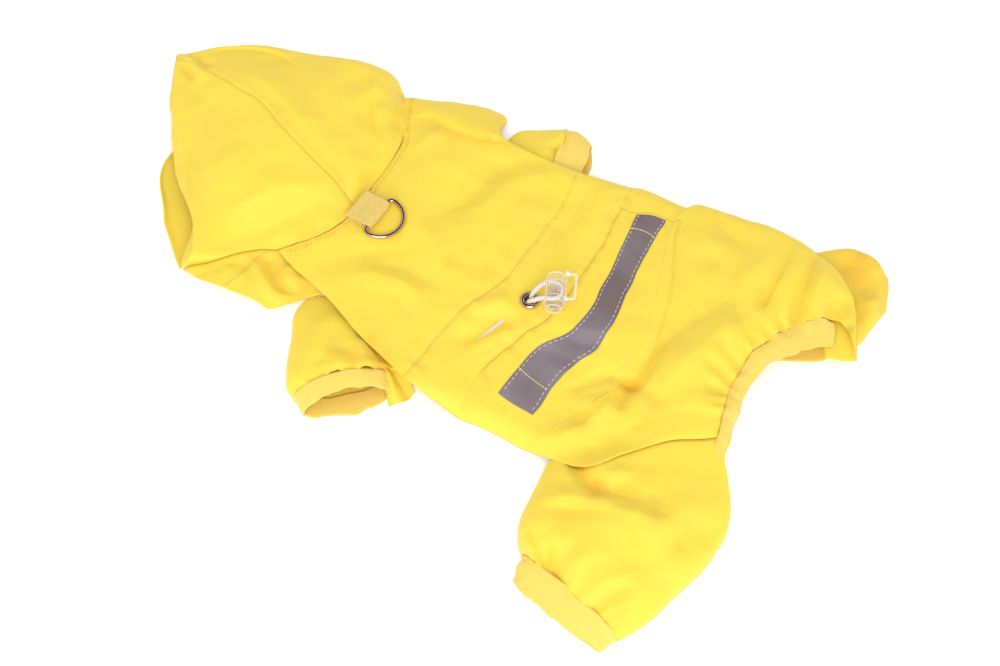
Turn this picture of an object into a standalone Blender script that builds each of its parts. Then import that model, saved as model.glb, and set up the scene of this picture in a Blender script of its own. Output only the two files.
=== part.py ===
"""Dog raincoat with hood and four short legs, laid flat on its belly with its back up.

The head lies toward -Y, the tail toward +Y, and the dog's left side toward +X. The coat rests on Z = 0.
Sizes below are millimetres; the objects are built in metres.
"""

import math

import bmesh
import bpy
import numpy as np
from mathutils import Matrix, Vector

MM = 0.001
WALL = 1.0  # coated cloth, drawn at the wall of a two-ply seam
COAT_CENTRE = (-3.25, 1.35, 0.0)  # middle of the coat in the tables below, moved to the origin at the end
SEAM_GAP = 0.2  # half of the gap left between two sewn panels
FLOOR_EDGE = 0.5  # where the rolled edge of a panel stops above the surface
LAYER_GAP = 0.45  # a piece sewn on top clears the panel by this
STRIP_WALL = 0.8
BAND_WALL = 1.4
CASING_RISE = 0.6

CORD_DIAMETER = 2.6
CORD_SEGMENTS = 64

# The back, from the neck seam to the tail seam. Each row is one section of it, right side to left side.
# Columns: seven points (x, y, z), then the height that the right and the left edge come down to.
BACK_ROWS = (
    # neck seam
    ((-98, -88, 5), (-78, -77, 10), (-59, -65, 13), (-11, -61, 15), (8, -64, 15), (22, -72, 13), (35, -84, 10), 0, 9),
    ((-112, -54, 8), (-92, -52, 13), (-58, -43, 15), (-12, -38, 16), (12, -41, 15), (31, -46, 13), (43, -52, 11), 0, 10),
    # shoulder corner
    ((-118, -31, 8), (-93, -29, 13), (-57, -24, 15), (-14, -18, 16), (12, -19, 15), (35, -23, 14), (51, -29, 13), 0, 12),
    ((-98, -20, 13), (-82, -16, 14), (-55, -10, 15), (-14, -5, 15), (12, -6, 14), (38, -9, 13), (56, -15, 14), 10, 13),
    # front seam of the waist casing
    ((-101, 27, 12), (-84, 30, 13), (-58, 33, 13), (-14, 32, 14), (12, 24.5, 13), (40, 22, 12), (65, 21, 12.5), 10, 12),
    # rear seam of the waist casing, front edge of the pocket
    ((-110, 57, 7), (-91, 61, 11), (-58, 66, 12), (-14, 67, 14), (8, 60, 12), (38, 53, 10), (66, 56, 7), 0, 0),
    # front edge of the reflective strip
    ((-112, 66, 7), (-90, 71.5, 11), (-58, 77.5, 13), (-14, 83, 15), (14, 71, 12), (49, 68, 10), (65, 66, 7), 0, 0),
    # rear edge of the reflective strip
    ((-114, 80, 7), (-96, 86, 11), (-58, 91, 14), (-8, 100, 16), (14, 92, 12), (51, 91, 10), (64, 88, 7), 0, 0),
    # rear hem of the pocket
    ((-120, 99, 8), (-101, 93, 12), (-62, 112, 16), (-20, 125, 17), (8, 122, 15), (51, 104, 11), (62.5, 100, 8), 0, 0),
    ((-128, 121, 9), (-106, 119, 13), (-64, 130, 19), (-18, 136, 20), (12, 131, 18), (45, 116, 14), (64, 112, 10), 0, 6),
    ((-132, 147, 9), (-108, 143, 14), (-70, 145, 19), (-26, 147, 20), (6, 143, 18), (36, 136, 17), (60, 131, 17), 0, 16),
    ((-123, 177, 12), (-107, 166, 15), (-77, 157, 17), (-37, 156, 18), (-8, 153, 18), (20, 149, 18), (45, 144, 18.5), 11, 17),
    ((-109, 198, 14), (-105, 184, 15), (-80, 168, 15), (-44, 163, 16), (-18, 163, 17), (6, 161, 17), (27, 157, 18), 11, 16.5),
    # tail seam
    ((-77, 218, 13), (-91, 199, 14), (-76, 180, 14), (-52, 170, 14), (-32, 169, 14), (-12, 173, 14), (6, 179, 14), 11, 13),
)
NECK_SEAM, CASING_FRONT, CASING_REAR, STRIP_FRONT, STRIP_REAR, POCKET_HEM, TAIL_SEAM = 0, 4, 5, 6, 7, 8, 13
RIM_WIDTH = 9.0  # how far in from its edge the back has risen to its height

# The hood, from the face opening to the neck seam: right edge, right side, crown seam, left side, left fold, left edge.
# The last two columns are the heights that the right and the left edge come down to.
HOOD_ROWS = (
    ((-52, -217, 5), (-49, -217, 7), (-44, -213, 9), (-13, -193, 10), (28, -160, 9), (71, -124, 7), 0, 5),
    ((-82, -181, 12), (-62, -181, 18), (-39, -178, 21), (-7, -163, 20), (34, -143, 15), (67, -119, 9), 0, 7),
    ((-93, -151, 14), (-63, -149, 23), (-33, -146, 28), (-4, -135, 26), (32, -126, 18), (60, -112, 10), 0, 8),
    ((-102, -123, 14), (-64, -119, 23), (-23, -117, 29), (2, -110, 27), (27, -106, 20), (50, -103, 12), 0, 10),
    ((-102, -105, 11), (-63, -94, 18), (-18, -91, 23), (4, -90, 22), (22, -92, 18), (42, -95, 12), 0, 10),
    ((-99, -90.5, 6), (-60, -66.5, 14), (-11, -62, 16), (6, -64.5, 16), (19, -71, 15), (35, -85.5, 11), 0, 10),
)
CROWN = 2 / 5
HOOD_RIM = 12.0

# The hood's lower layer, seen past the near edge of the face opening: right end and left end of each row.
HOOD_UNDER_ROWS = (
    ((-52, -210, 1.2), (-5, -182, 1.2), (20, -177, 2.5), (38, -165, 3.5), (56, -147, 3.0), (70, -127, 1.2)),
    ((-70, -190, 1.2), (-8, -172, 1.2), (18, -168, 1.2), (33, -158, 1.2), (48, -143, 1.2), (64, -125, 1.2)),
    ((-95, -140, 1.2), (-50, -135, 1.2), (-20, -130, 1.2), (8, -126, 1.2), (30, -122, 1.2), (52, -117, 1.2)),
    ((-98, -108, 1.2), (-60, -103, 1.2), (-25, -101, 1.2), (5, -100, 1.2), (20, -99, 1.2), (30, -98, 1.2)),
    ((-92, -94, 1.2), (-60, -90, 1.2), (-25, -88, 1.2), (0, -88, 1.2), (12, -88, 1.2), (24, -88, 1.2)),
)

# The chest panel, which shows between the hood, the back and the left front leg: outer edge to inner edge.
CHEST_ROWS = (
    ((69, -122, 2), (66, -120, 3.0), (62, -117, 3.5), (57, -114, 3.5)),
    ((67, -106, 5), (61, -104, 6.5), (52, -101, 6.5), (42, -98, 5)),
    ((65, -90, 6), (56, -89, 7.5), (44, -87, 7.0), (31, -84, 5)),
    ((63, -76, 6), (54, -75, 7.5), (42, -74, 7.0), (28, -72, 5)),
    ((57, -66, 5), (50, -66, 6.5), (42, -65, 6.5), (30, -63, 5)),
    ((50, -61, 3), (46, -60, 4.5), (40, -59, 4.5), (33, -58, 4)),
)

# The belly panel lies flat under the back. Columns: right end (x, y), left end (x, y).
BELLY_ROWS = (
    ((-88, -83), (24, -80)),
    ((-107, -56), (24, -56)),
    ((-112, -36), (24, -36)),
    ((-64, -30), (24, -30)),
    ((-64, 0), (24, 0)),
    ((-64, 36), (24, 34)),
    ((-102, 42), (57, 42)),
    ((-106, 60), (59, 60)),
    ((-109, 90), (57, 90)),
    ((-117, 104), (53, 102)),
    ((-120, 122), (47, 110)),
    ((-104, 138), (30, 131)),
    ((-84, 154), (12, 151)),
    ((-70, 166), (-6, 168)),
)

# The elastic band round the tail opening. Columns: edge on the back, free edge.
TAIL_BAND_ROWS = (
    ((-90, 200, 14), (-76, 206, 12)),
    ((-85, 188, 14), (-70, 196, 13)),
    ((-72, 178, 14), (-58, 189, 12)),
    ((-53, 171, 14), (-46, 183, 11)),
    ((-34, 170, 14), (-30, 181, 10)),
    ((-14, 174, 14), (-13, 185, 10)),
    ((4, 180, 13), (3, 190, 9)),
    ((17, 186.5, 10), (18, 195, 6)),
    ((29, 196, 7), (30, 203, 4)),
    ((38, 203, 5), (37, 208, 3)),
)
TAIL_UNDER_ROWS = (
    ((-86, 199, 1.4), (-79, 205, 1.4)),
    ((-77, 190, 1.4), (-70, 200, 1.4)),
    ((-70, 181, 1.4), (-63, 189, 1.4)),
    ((-62, 172, 1.4), (-57, 179, 1.4)),
    ((-50, 168, 1.4), (-46, 175, 1.4)),
    ((-34, 170, 1.4), (-33, 176, 1.4)),
    ((-18, 172, 1.4), (-18, 178, 1.4)),
)

# Legs are flattened tubes. Columns: one side on the surface (x, y), the other side, height of the top layer,
# how far the lower and the upper layer run on past the straight line between the two sides.
FRONT_LEFT_RINGS = (
    (45, -52, 33, 1, 5.0, 0, 0),
    (56, -54, 39, 5, 6.0, 0, 0),
    (68, -52, 46, 9, 8.5, 0, 0),
    (82, -45, 52, 12, 12.0, 0, 0),
    (95, -36, 56, 14, 15.0, 2, -1),
    (101.5, -28, 59, 16, 16.0, 3, -3),
    (103, -24, 60, 17, 15.5, 3, -4),
)
FRONT_LEFT_CUFF = (
    (103.6, -23.0, 60.6, 17.9, 15.4, 3.7, -3.6),
    (106, -18.5, 62.5, 21, 15.0, 5, -3),
    (108.5, -14, 64.5, 24.5, 14.5, 6, -3),
)
FRONT_RIGHT_RINGS = (
    (-98, -22, -68, -22, 5.0, 0, 0),
    (-110, -16, -70, -10, 5.5, 0, 0),
    (-120, -7, -76, 4, 7.0, 0, 0),
    (-127, 0, -82, 13, 9.0, 0, 0),
    (-129, 3, -86, 18, 9.5, 0, 0),
)
FRONT_RIGHT_CUFF = (
    (-129.2, 3.7, -86.2, 18.7, 9.5, 0, 0),
    (-131, 8, -88, 23, 9.0, 0, 0),
    (-131, 14, -90, 28, 7.5, 2, 0),
    (-127, 21, -93, 31, 5.0, 3, 0),
)
HIND_LEFT_RINGS = (
    (50, 118, -2, 176, 7.0, 0, 0),
    (64, 115, 13, 186, 11.0, 0, 0),
    (77, 114, 36, 203, 17.0, 0, 0),
    (90, 115, 61, 208.5, 20.0, 0, 0),
    (101, 118, 90, 206, 20.0, 0, 0),
    (109, 123, 111, 200, 17.0, 0, 0),
    (115, 128, 127, 192, 13.0, 1, 1),
)
HIND_LEFT_CUFF = (
    (115.8, 128.3, 127.8, 191.9, 12.5, 1, 1),
    (123, 129, 134.5, 188.3, 12.0, 2, 1),
    (129.5, 129.5, 140.5, 186, 11.0, 2, 1),
)
HIND_RIGHT_RINGS = (
    (-110, 139, -88, 158, 5.0, 0, 0),
    (-122, 146, -82, 176, 5.5, 0, 0),
    (-134, 162, -86, 196, 7.0, 0, 0),
    (-142, 172, -88, 206, 8.5, 0, 0),
    (-147, 183, -90, 214, 9.5, 0, 0),
    (-146, 194, -98, 218, 9.5, 0, 0),
    (-139, 206, -110, 220, 7.0, 0, 0),
)
DOME_POWER = 0.7  # below 1 a top layer is fuller than a half ellipse
RING_SIDES = 16

# Hardware
TAB_WIDTH = 20.0
TAB_PLY = 1.2
TAB_LENGTH = 13.3
RING_WIRE = 1.1  # radius
RING_RADIUS = 13.0  # to the middle of the wire
RING_BAR_AT = (-10.0, -47.2)
BAR_CLEARANCE = 0.35
EYELET_AT = (-11.0, 52.5)
EYELET_PROFILE = ((3.1, 1.2), (3.6, 1.7), (4.7, 1.6), (5.6, 1.0), (5.6, 0.35), (3.5, 0.35), (3.5, -2.2), (3.1, -2.2))
CASING_HOLE = 3.9
LOCK_AT = (-18.0, 64.0)
LOCK_TURN = math.radians(27.0)  # of the barrel's axis from X toward Y
LOCK_RADIUS = 5.8
LOCK_BARREL = (-10.5, 7.0)
LOCK_BUTTON = (6.5, 10.5)
LOCK_BUTTON_RADIUS = 4.9
LOCK_SLOT = (13.4, 3.7)  # width along the barrel, height
LOCK_SLOT_ENDS = (-9.0, 4.9)
LOOP_SIZE = (16.0, 5.5)
LOOP_AT = -5.0  # along the barrel
LOOP_ROD = 0.9
SLOT_SHIFT = -1.5  # the slot's middle, along the barrel

# The draw cord, from the right side seam, inside the casing, up through the eyelet, round in the lock and back.
CORD_ROUTE = (
    (-87, 48, 8.5),
    (-71, 50, 9),
    (-53, 51.5, 9.5),
    (-34, 52, 9.8),
    (-20, 50.8, 9.2),
    (-14.4, 51.3, 10),
    (-12.6, 52.2, 12),
    (-12.5, 52.4, 14),
    (-12.6, 52.5, 16),
    (-14, 52.8, 18.5),
    (-18.5, 54.5, 21.3),
    (-22, 57.3, 22.3),
    (-23.6, 60.5, 22.3),
    (-23.2, 64, 22.3),
    (-20.8, 66.3, 22.3),
    (-17.3, 66.9, 22.3),
    (-14.3, 65, 22.3),
    (-12.8, 62, 22.3),
    (-11.3, 58.8, 21.5),
    (-9.8, 55.6, 18.8),
    (-9.4, 53, 16),
    (-9.4, 52.6, 14),
    (-9.3, 52.3, 12),
    (-7.6, 51.2, 10),
    (-3, 48.5, 9.2),
    (9, 44.5, 9.2),
    (24, 41, 8.6),
    (39.5, 38.5, 7.5),
)


def material(name, colour, roughness, metallic=0.0, alpha=1.0):
    made = bpy.data.materials.new(name)
    made.use_nodes = True
    shader = made.node_tree.nodes["Principled BSDF"]
    shader.inputs["Base Color"].default_value = (*colour, 1.0)
    shader.inputs["Roughness"].default_value = roughness
    shader.inputs["Metallic"].default_value = metallic
    shader.inputs["Alpha"].default_value = alpha
    made.diffuse_color = (*colour, alpha)
    return made


def through(points, t):
    """The point at t, from 0 to 1, on a smooth curve through evenly numbered points."""
    points = np.asarray(points, float)
    last = len(points) - 1
    at = min(max(t, 0.0), 1.0) * last
    i = min(int(at), last - 1)
    f = at - i
    b, c = points[i], points[i + 1]
    a = points[i - 1] if i else 2 * b - c
    d = points[i + 2] if i + 2 <= last else 2 * c - b
    return 0.5 * (2 * b + (c - a) * f + (2 * a - 5 * b + 4 * c - d) * f**2 + (3 * b - 3 * c + d - a) * f**3)


def rise(distance, width):
    """0 at an edge and 1 from width inward, on a quarter of an ellipse."""
    return math.sqrt(1 - (1 - min(max(distance / width, 0.0), 1.0)) ** 2)


def draped(rows, u, v, rim):
    """A point of a panel given by rows of points and the two heights that its edges come down to."""
    points = [through(row[:-2], v) for row in rows]
    right, left = through([row[-2:] for row in rows], u)
    point = through(points, u)
    first, last = through([row[0] for row in rows], u), through([row[-3] for row in rows], u)
    for edge, height in ((first, right), (last, left)):
        distance = math.dist(point[:2], edge[:2])
        height = max(height, FLOOR_EDGE)
        point[2] = height + (point[2] - height) * rise(distance, rim) if distance < rim else point[2]
    return point


def back(u, v):
    """The back at row u, counted from the neck seam, and v from its right edge to its left edge."""
    return draped(BACK_ROWS, u / TAIL_SEAM, v, RIM_WIDTH)


def hood(u, v):
    return draped(HOOD_ROWS, u, v, HOOD_RIM)


def plain(rows):
    """A panel given only by rows of points."""
    return lambda u, v: through([through(row, v) for row in rows], u)


def put(name, mesh, finish):
    obj = bpy.data.objects.new(name, mesh)
    obj.data.materials.append(finish)
    bpy.context.scene.collection.objects.link(obj)
    return obj


def sheet(name, finish, point, us, vs, wall=WALL, lift=0.0):
    """A cloth panel: a grid moved onto point(u, v), with its wall below it."""
    mesh = bpy.data.meshes.new(name)
    bm = bmesh.new()
    bmesh.ops.create_grid(bm, x_segments=len(us) - 1, y_segments=len(vs) - 1, size=1.0)
    for vert in bm.verts:
        u = us[round((vert.co.x + 1) / 2 * (len(us) - 1))]
        v = vs[round((vert.co.y + 1) / 2 * (len(vs) - 1))]
        x, y, z = point(u, v)
        vert.co = Vector((x, y, z + lift)) * MM
    bm.normal_update()
    if sum(face.normal.z * face.calc_area() for face in bm.faces) < 0:
        bmesh.ops.reverse_faces(bm, faces=bm.faces)
    bm.to_mesh(mesh)
    bm.free()
    obj = put(name, mesh, finish)
    shell = obj.modifiers.new("Wall", "SOLIDIFY")
    shell.thickness = wall * MM
    shell.offset = -1.0
    shell.use_even_offset = True
    return obj


def ring_point(rings, u, turn):
    """A point of a flattened tube: turn 0 to 1 goes over the top layer and back under the lower one."""
    ax, ay, bx, by, height, low, top = through(rings, u)
    angle = 2 * math.pi * turn
    side = math.cos(angle)
    over = math.sin(angle) >= 0
    middle = Vector(((ax + bx) / 2, (ay + by) / 2, 0))
    half = Vector(((ax - bx) / 2, (ay - by) / 2, 0))
    onward = Vector((-half.y, half.x, 0)).normalized() * (top if over else low)
    ahead = Vector(through(rings, min(u + 0.05, 1.0))[:2]) - Vector(through(rings, u - 0.05)[:2])
    if onward.xy.dot(ahead) * (top if over else low) < 0:
        onward.negate()
    rise_here = height * abs(math.sin(angle)) ** DOME_POWER if over else 0.0
    return middle + half * side + onward * (1 - side * side) + Vector((0, 0, rise_here))


def tube(name, finish, rings, steps, wall=WALL, closed_end=False):
    """A leg or a cuff: rings of the outer face, welded round, with the wall inside."""
    mesh = bpy.data.meshes.new(name)
    bm = bmesh.new()
    bmesh.ops.create_grid(bm, x_segments=steps, y_segments=RING_SIDES, size=1.0)
    for vert in bm.verts:
        point = ring_point(rings, (vert.co.x + 1) / 2, (vert.co.y + 1) / 2 % 1.0)
        vert.co = point * MM
    bmesh.ops.remove_doubles(bm, verts=bm.verts, dist=1e-6)
    if closed_end:
        end = ring_point(rings, 1.0, 0.5)
        rim = [e for e in bm.edges if e.is_boundary and (e.verts[0].co - end * MM).length < 0.05]
        bmesh.ops.holes_fill(bm, edges=rim, sides=0)
    bmesh.ops.recalc_face_normals(bm, faces=bm.faces)
    highest = max(bm.faces, key=lambda face: face.calc_center_median().z)
    if highest.normal.z < 0:
        bmesh.ops.reverse_faces(bm, faces=bm.faces)
    bm.to_mesh(mesh)
    bm.free()
    obj = put(name, mesh, finish)
    shell = obj.modifiers.new("Wall", "SOLIDIFY")
    shell.thickness = wall * MM
    shell.offset = -1.0
    shell.use_even_offset = True
    return obj


def steps_between(first, last, count):
    """Even steps between two rows of the back, stopping short of each seam."""
    a = np.array([back(first, v) for v in (0.2, 0.5, 0.8)])
    b = np.array([back(last, v) for v in (0.2, 0.5, 0.8)])
    short = SEAM_GAP / np.linalg.norm(b - a, axis=1).min() * (last - first)
    return np.linspace(first + short, last - short, count + 1)


def cloth_height(x, y):
    """Height of the back's outer face near (x, y)."""
    samples = [back(u, v) for u in np.linspace(0, 8, 41) for v in np.linspace(0.2, 0.8, 31)]
    near = sorted(samples, key=lambda p: math.dist(p[:2], (x, y)))[:4]
    return max(p[2] for p in near)


def curve_tube(name, finish, points, radius, sides, cyclic=False):
    data = bpy.data.curves.new(name, "CURVE")
    data.dimensions = "3D"
    data.bevel_depth = radius * MM
    data.bevel_resolution = sides
    data.use_fill_caps = not cyclic
    line = data.splines.new("POLY")
    line.points.add(len(points) - 1)
    for spot, point in zip(line.points, points):
        spot.co = (*(Vector(point) * MM), 1.0)
    line.use_cyclic_u = cyclic
    obj = bpy.data.objects.new(name, data)
    data.materials.append(finish)
    bpy.context.scene.collection.objects.link(obj)
    return obj


def lathe(name, finish, profile, steps, at):
    """A closed profile of (radius, height) pairs turned about Z."""
    mesh = bpy.data.meshes.new(name)
    bm = bmesh.new()
    spots = [bm.verts.new((r * MM, 0, z * MM)) for r, z in profile]
    edges = [bm.edges.new((a, b)) for a, b in zip(spots, spots[1:] + spots[:1])]
    bmesh.ops.spin(bm, geom=spots + edges, cent=(0, 0, 0), axis=(0, 0, 1), angle=2 * math.pi, steps=steps)
    bmesh.ops.remove_doubles(bm, verts=bm.verts, dist=1e-6)
    bmesh.ops.recalc_face_normals(bm, faces=bm.faces)
    bm.to_mesh(mesh)
    bm.free()
    obj = put(name, mesh, finish)
    obj.location = Vector(at) * MM
    return obj


def solid_box(name, size, place):
    """A box of the given size, as a tool for a Boolean or as a piece of one."""
    mesh = bpy.data.meshes.new(name)
    bm = bmesh.new()
    bmesh.ops.create_cube(bm, size=1.0)
    bmesh.ops.scale(bm, vec=Vector(size) * MM, verts=bm.verts)
    bmesh.ops.transform(bm, matrix=place, verts=bm.verts)
    bm.to_mesh(mesh)
    bm.free()
    return helper(name, mesh)


def solid_rod(name, radius, length, sides, place):
    mesh = bpy.data.meshes.new(name)
    bm = bmesh.new()
    bmesh.ops.create_cone(
        bm, cap_ends=True, segments=sides, radius1=radius * MM, radius2=radius * MM, depth=length * MM
    )
    bmesh.ops.transform(bm, matrix=place, verts=bm.verts)
    bm.to_mesh(mesh)
    bm.free()
    return helper(name, mesh)


def helper(name, mesh):
    obj = bpy.data.objects.new(name, mesh)
    bpy.context.scene.collection.objects.link(obj)
    obj.hide_render = True
    obj.display_type = "WIRE"
    return obj


def combine(obj, other, operation):
    step = obj.modifiers.new(operation.title(), "BOOLEAN")
    step.operation = operation
    step.object = other
    step.solver = "EXACT"


def columns():
    """Where the back's sections are read: close together at the rolled edges."""
    side, other = 1 / 6, 5 / 6
    return [0, 0.01, 0.035, 0.08, side, 0.25, 0.335, 0.42, 0.5, 0.585, 0.67, 0.75, other, 0.92, 0.965, 0.99, 1]


def build_back(cloth, trim, grey):
    vs = columns()
    sheet("yoke_panel", cloth, back, steps_between(NECK_SEAM, CASING_FRONT, 10), vs)
    casing = sheet("waist_casing", cloth, back, steps_between(CASING_FRONT, CASING_REAR, 3), vs, lift=CASING_RISE)
    sewn = steps_between(CASING_REAR, POCKET_HEM, 7)
    rump_rows = [*sewn[:-1], *np.linspace(POCKET_HEM, TAIL_SEAM - 0.03, 11)]
    sheet("rump_panel", cloth, back, rump_rows, vs)
    inner = vs[4:13]
    sheet("pocket_patch", cloth, back, sewn, inner, lift=WALL + LAYER_GAP)
    strip_lift = 2 * (WALL + LAYER_GAP) + LAYER_GAP
    strip_rows = np.linspace(STRIP_FRONT, STRIP_REAR, 4)
    sheet("reflective_strip", grey, back, strip_rows, strip_columns(), STRIP_WALL, strip_lift)
    sheet("tail_band", trim, plain(TAIL_BAND_ROWS), np.linspace(0, 1, 19), [0.06, 0.53, 1], BAND_WALL)
    sheet("tail_band_under", trim, plain(TAIL_UNDER_ROWS), np.linspace(0, 1, 13), [0, 0.5, 1], BAND_WALL)
    return casing


def strip_columns():
    return np.linspace(1 / 6 + 0.006, 5 / 6 - 0.006, 17)


def build_belly(cloth):
    ends = np.array([[*right, *left] for right, left in BELLY_ROWS], float)

    def flat(u, v):
        at = u * (len(ends) - 1)
        x0, y0, x1, y1 = (np.interp(at, range(len(ends)), ends[:, k]) for k in range(4))
        return x0 + (x1 - x0) * v, y0 + (y1 - y0) * v, WALL

    sheet("belly_panel", cloth, flat, np.linspace(0, 1, len(ends)), np.linspace(0, 1, 7))


def build_hood(cloth):
    us = [0.0, 0.06, 0.13, 0.2, 0.3, 0.4, 0.5, 0.6, 0.7, 0.8, 0.88, 0.94, 0.995]
    right = [0, 0.012, 0.04, 0.08, 0.15, 0.23, 0.31, CROWN - 0.004]
    left = [CROWN + 0.004, 0.5, 0.6, 0.7, 0.8, 0.88, 0.94, 0.975, 1]
    sheet("hood_right_panel", cloth, hood, us, right)
    sheet("hood_left_panel", cloth, hood, us, left)
    sheet("hood_under_layer", cloth, plain(HOOD_UNDER_ROWS), [0, 0.12, 0.25, 0.5, 0.75, 1], np.linspace(0, 1, 11))
    sheet("chest_panel", cloth, plain_rimmed(CHEST_ROWS), np.linspace(0, 1, 9), [0, 0.03, 0.1, 0.25, 0.5, 0.75, 1])


def plain_rimmed(rows):
    """Like plain(), with the first edge rolled down to the surface."""
    surface = plain(rows)

    def rolled(u, v):
        x, y, z = surface(u, v)
        edge = surface(u, 0.0)
        return x, y, FLOOR_EDGE + (z - FLOOR_EDGE) * rise(math.dist((x, y), edge[:2]), 4.0)

    return rolled


def build_legs(cloth, trim):
    tube("front_leg_left", cloth, FRONT_LEFT_RINGS, 9)
    tube("front_cuff_left", trim, FRONT_LEFT_CUFF, 3, BAND_WALL)
    tube("front_leg_right", cloth, FRONT_RIGHT_RINGS, 6)
    tube("front_cuff_right", trim, FRONT_RIGHT_CUFF, 5)
    tube("hind_leg_left", cloth, HIND_LEFT_RINGS, 10)
    tube("hind_cuff_left", trim, HIND_LEFT_CUFF, 3, BAND_WALL)
    tube("hind_leg_right", cloth, HIND_RIGHT_RINGS, 9, closed_end=True)


def build_leash_point(webbing, nickel):
    """The webbing tab in the neck seam, and the D-shaped ring that turns in its fold."""
    x, y = RING_BAR_AT
    fold = RING_WIRE + BAR_CLEARANCE + TAB_PLY
    height = max(cloth_height(x, y - k) for k in (0, 4, 8, 12)) + fold + LAYER_GAP
    half = math.pi / 2
    turns = [half - i * math.pi / 8 for i in range(9)]
    outer = [(fold * math.cos(a), fold * math.sin(a)) for a in turns]
    inner = [((fold - TAB_PLY) * math.cos(a), (fold - TAB_PLY) * math.sin(a)) for a in turns]
    outer += [(-6.0, -1.9), (-TAB_LENGTH, -1.5), (-TAB_LENGTH, 1.5), (-6.0, 1.9)]
    inner += [(-5.0, -0.6), (-TAB_LENGTH + 2, -0.15), (-TAB_LENGTH + 2, 0.15), (-5.0, 0.6)]
    mesh = bpy.data.meshes.new("leash_tab")
    bm = bmesh.new()
    rims = []
    for path in (outer, inner):
        spots = [bm.verts.new(Vector((-TAB_WIDTH / 2, a, b)) * MM) for a, b in path]
        rims += [bm.edges.new((p, q)) for p, q in zip(spots, spots[1:] + spots[:1])]
    side = bmesh.ops.bridge_loops(bm, edges=rims)["faces"]
    swept = bmesh.ops.extrude_face_region(bm, geom=side)["geom"]
    moved = [g for g in swept if isinstance(g, bmesh.types.BMVert)]
    bmesh.ops.translate(bm, verts=moved, vec=(TAB_WIDTH * MM, 0, 0))
    bmesh.ops.recalc_face_normals(bm, faces=bm.faces)
    bm.to_mesh(mesh)
    bm.free()
    tab = put("leash_tab", mesh, webbing)
    tab.location = Vector((x, y, height)) * MM

    pivot = bpy.data.objects.new("ring_pivot", None)
    bpy.context.scene.collection.objects.link(pivot)
    pivot.location = Vector((x, y, height)) * MM
    tilt = math.radians(-5.0)
    pivot.rotation_euler = (tilt, 0, 0)
    corner = 2.4
    path = []
    for step in range(19):
        a = math.pi * step / 18
        path.append((RING_RADIUS * math.cos(a), corner + (RING_RADIUS - 0.5) * math.sin(a), 0))
    path.append((-RING_RADIUS + 0.7, 0.7, 0))
    path += [(k, 0, 0) for k in (-RING_RADIUS + corner, -5, 0, 5, RING_RADIUS - corner)]
    path.append((RING_RADIUS - 0.7, 0.7, 0))
    ring = curve_tube("d_ring", nickel, path, RING_WIRE, 2, cyclic=True)
    ring.parent = pivot


def build_draw_cord(casing, nickel, white, clear):
    """The eyelet in the casing, the cord that comes out of it in a loop, and the lock on the loop."""
    ex, ey = EYELET_AT
    top = cloth_height(ex, ey) + CASING_RISE
    lathe("eyelet", nickel, EYELET_PROFILE, 24, (ex, ey, top))
    hole = solid_rod("casing_hole", CASING_HOLE, 20, 24, Matrix.Translation(Vector((ex, ey, top)) * MM))
    combine(casing, hole, "DIFFERENCE")

    along = Vector((math.cos(LOCK_TURN), math.sin(LOCK_TURN), 0))
    across = Vector((-along.y, along.x, 0))
    lock_z = cloth_height(*LOCK_AT) + WALL + 2 * LAYER_GAP + LOCK_RADIUS + 0.6
    lock = Vector((*LOCK_AT, lock_z))
    frame = Matrix((along, across, Vector((0, 0, 1)))).transposed().to_4x4()

    def at(x, y, z=0.0):
        return Matrix.Translation((lock + along * x + across * y + Vector((0, 0, z))) * MM) @ frame

    lay = Matrix.Rotation(math.radians(90), 4, "Y")
    start, end = LOCK_BARREL
    mesh = bpy.data.meshes.new("cord_lock")
    bm = bmesh.new()
    bmesh.ops.create_cone(
        bm, cap_ends=True, segments=28, radius1=LOCK_RADIUS * MM, radius2=LOCK_RADIUS * MM, depth=(end - start) * MM
    )
    bmesh.ops.transform(bm, matrix=at((start + end) / 2, 0) @ lay, verts=bm.verts)
    bm.to_mesh(mesh)
    bm.free()
    barrel = put("cord_lock", mesh, clear)
    first, last = LOCK_BUTTON
    button = solid_rod("lock_button", LOCK_BUTTON_RADIUS, last - first, 28, at((first + last) / 2, 0) @ lay)
    combine(barrel, button, "UNION")
    long, reach = LOOP_SIZE
    edge = LOCK_RADIUS - 0.8
    for name, size, x, y in (
        ("loop_far_rod", (long, 2 * LOOP_ROD, 2 * LOOP_ROD), LOOP_AT, edge + reach),
        ("loop_left_rod", (2 * LOOP_ROD, reach + 2 * LOOP_ROD, 1.98 * LOOP_ROD), LOOP_AT - long / 2, edge + reach / 2),
        ("loop_right_rod", (2 * LOOP_ROD, reach + 2 * LOOP_ROD, 1.96 * LOOP_ROD), LOOP_AT + long / 2, edge + reach / 2),
    ):
        combine(barrel, solid_box(name, size, at(x, y)), "UNION")
    near, far = LOCK_SLOT_ENDS
    width, height = LOCK_SLOT
    slot = solid_box("lock_slot", (width, far - near, height), at(SLOT_SHIFT, (near + far) / 2))
    combine(barrel, slot, "DIFFERENCE")

    points = even_points(CORD_ROUTE, CORD_SEGMENTS)
    curve_tube("draw_cord", white, points, CORD_DIAMETER / 2, 2)


def even_points(route, count):
    """Points at even distances along a smooth curve through the route."""
    fine = np.array([through(route, t) for t in np.linspace(0, 1, 2001)])
    length = np.concatenate(([0], np.cumsum(np.linalg.norm(np.diff(fine, axis=0), axis=1))))
    wanted = np.linspace(0, length[-1], count + 1)
    return [tuple(np.interp(w, length, fine[:, k]) for k in range(3)) for w in wanted]


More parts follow.
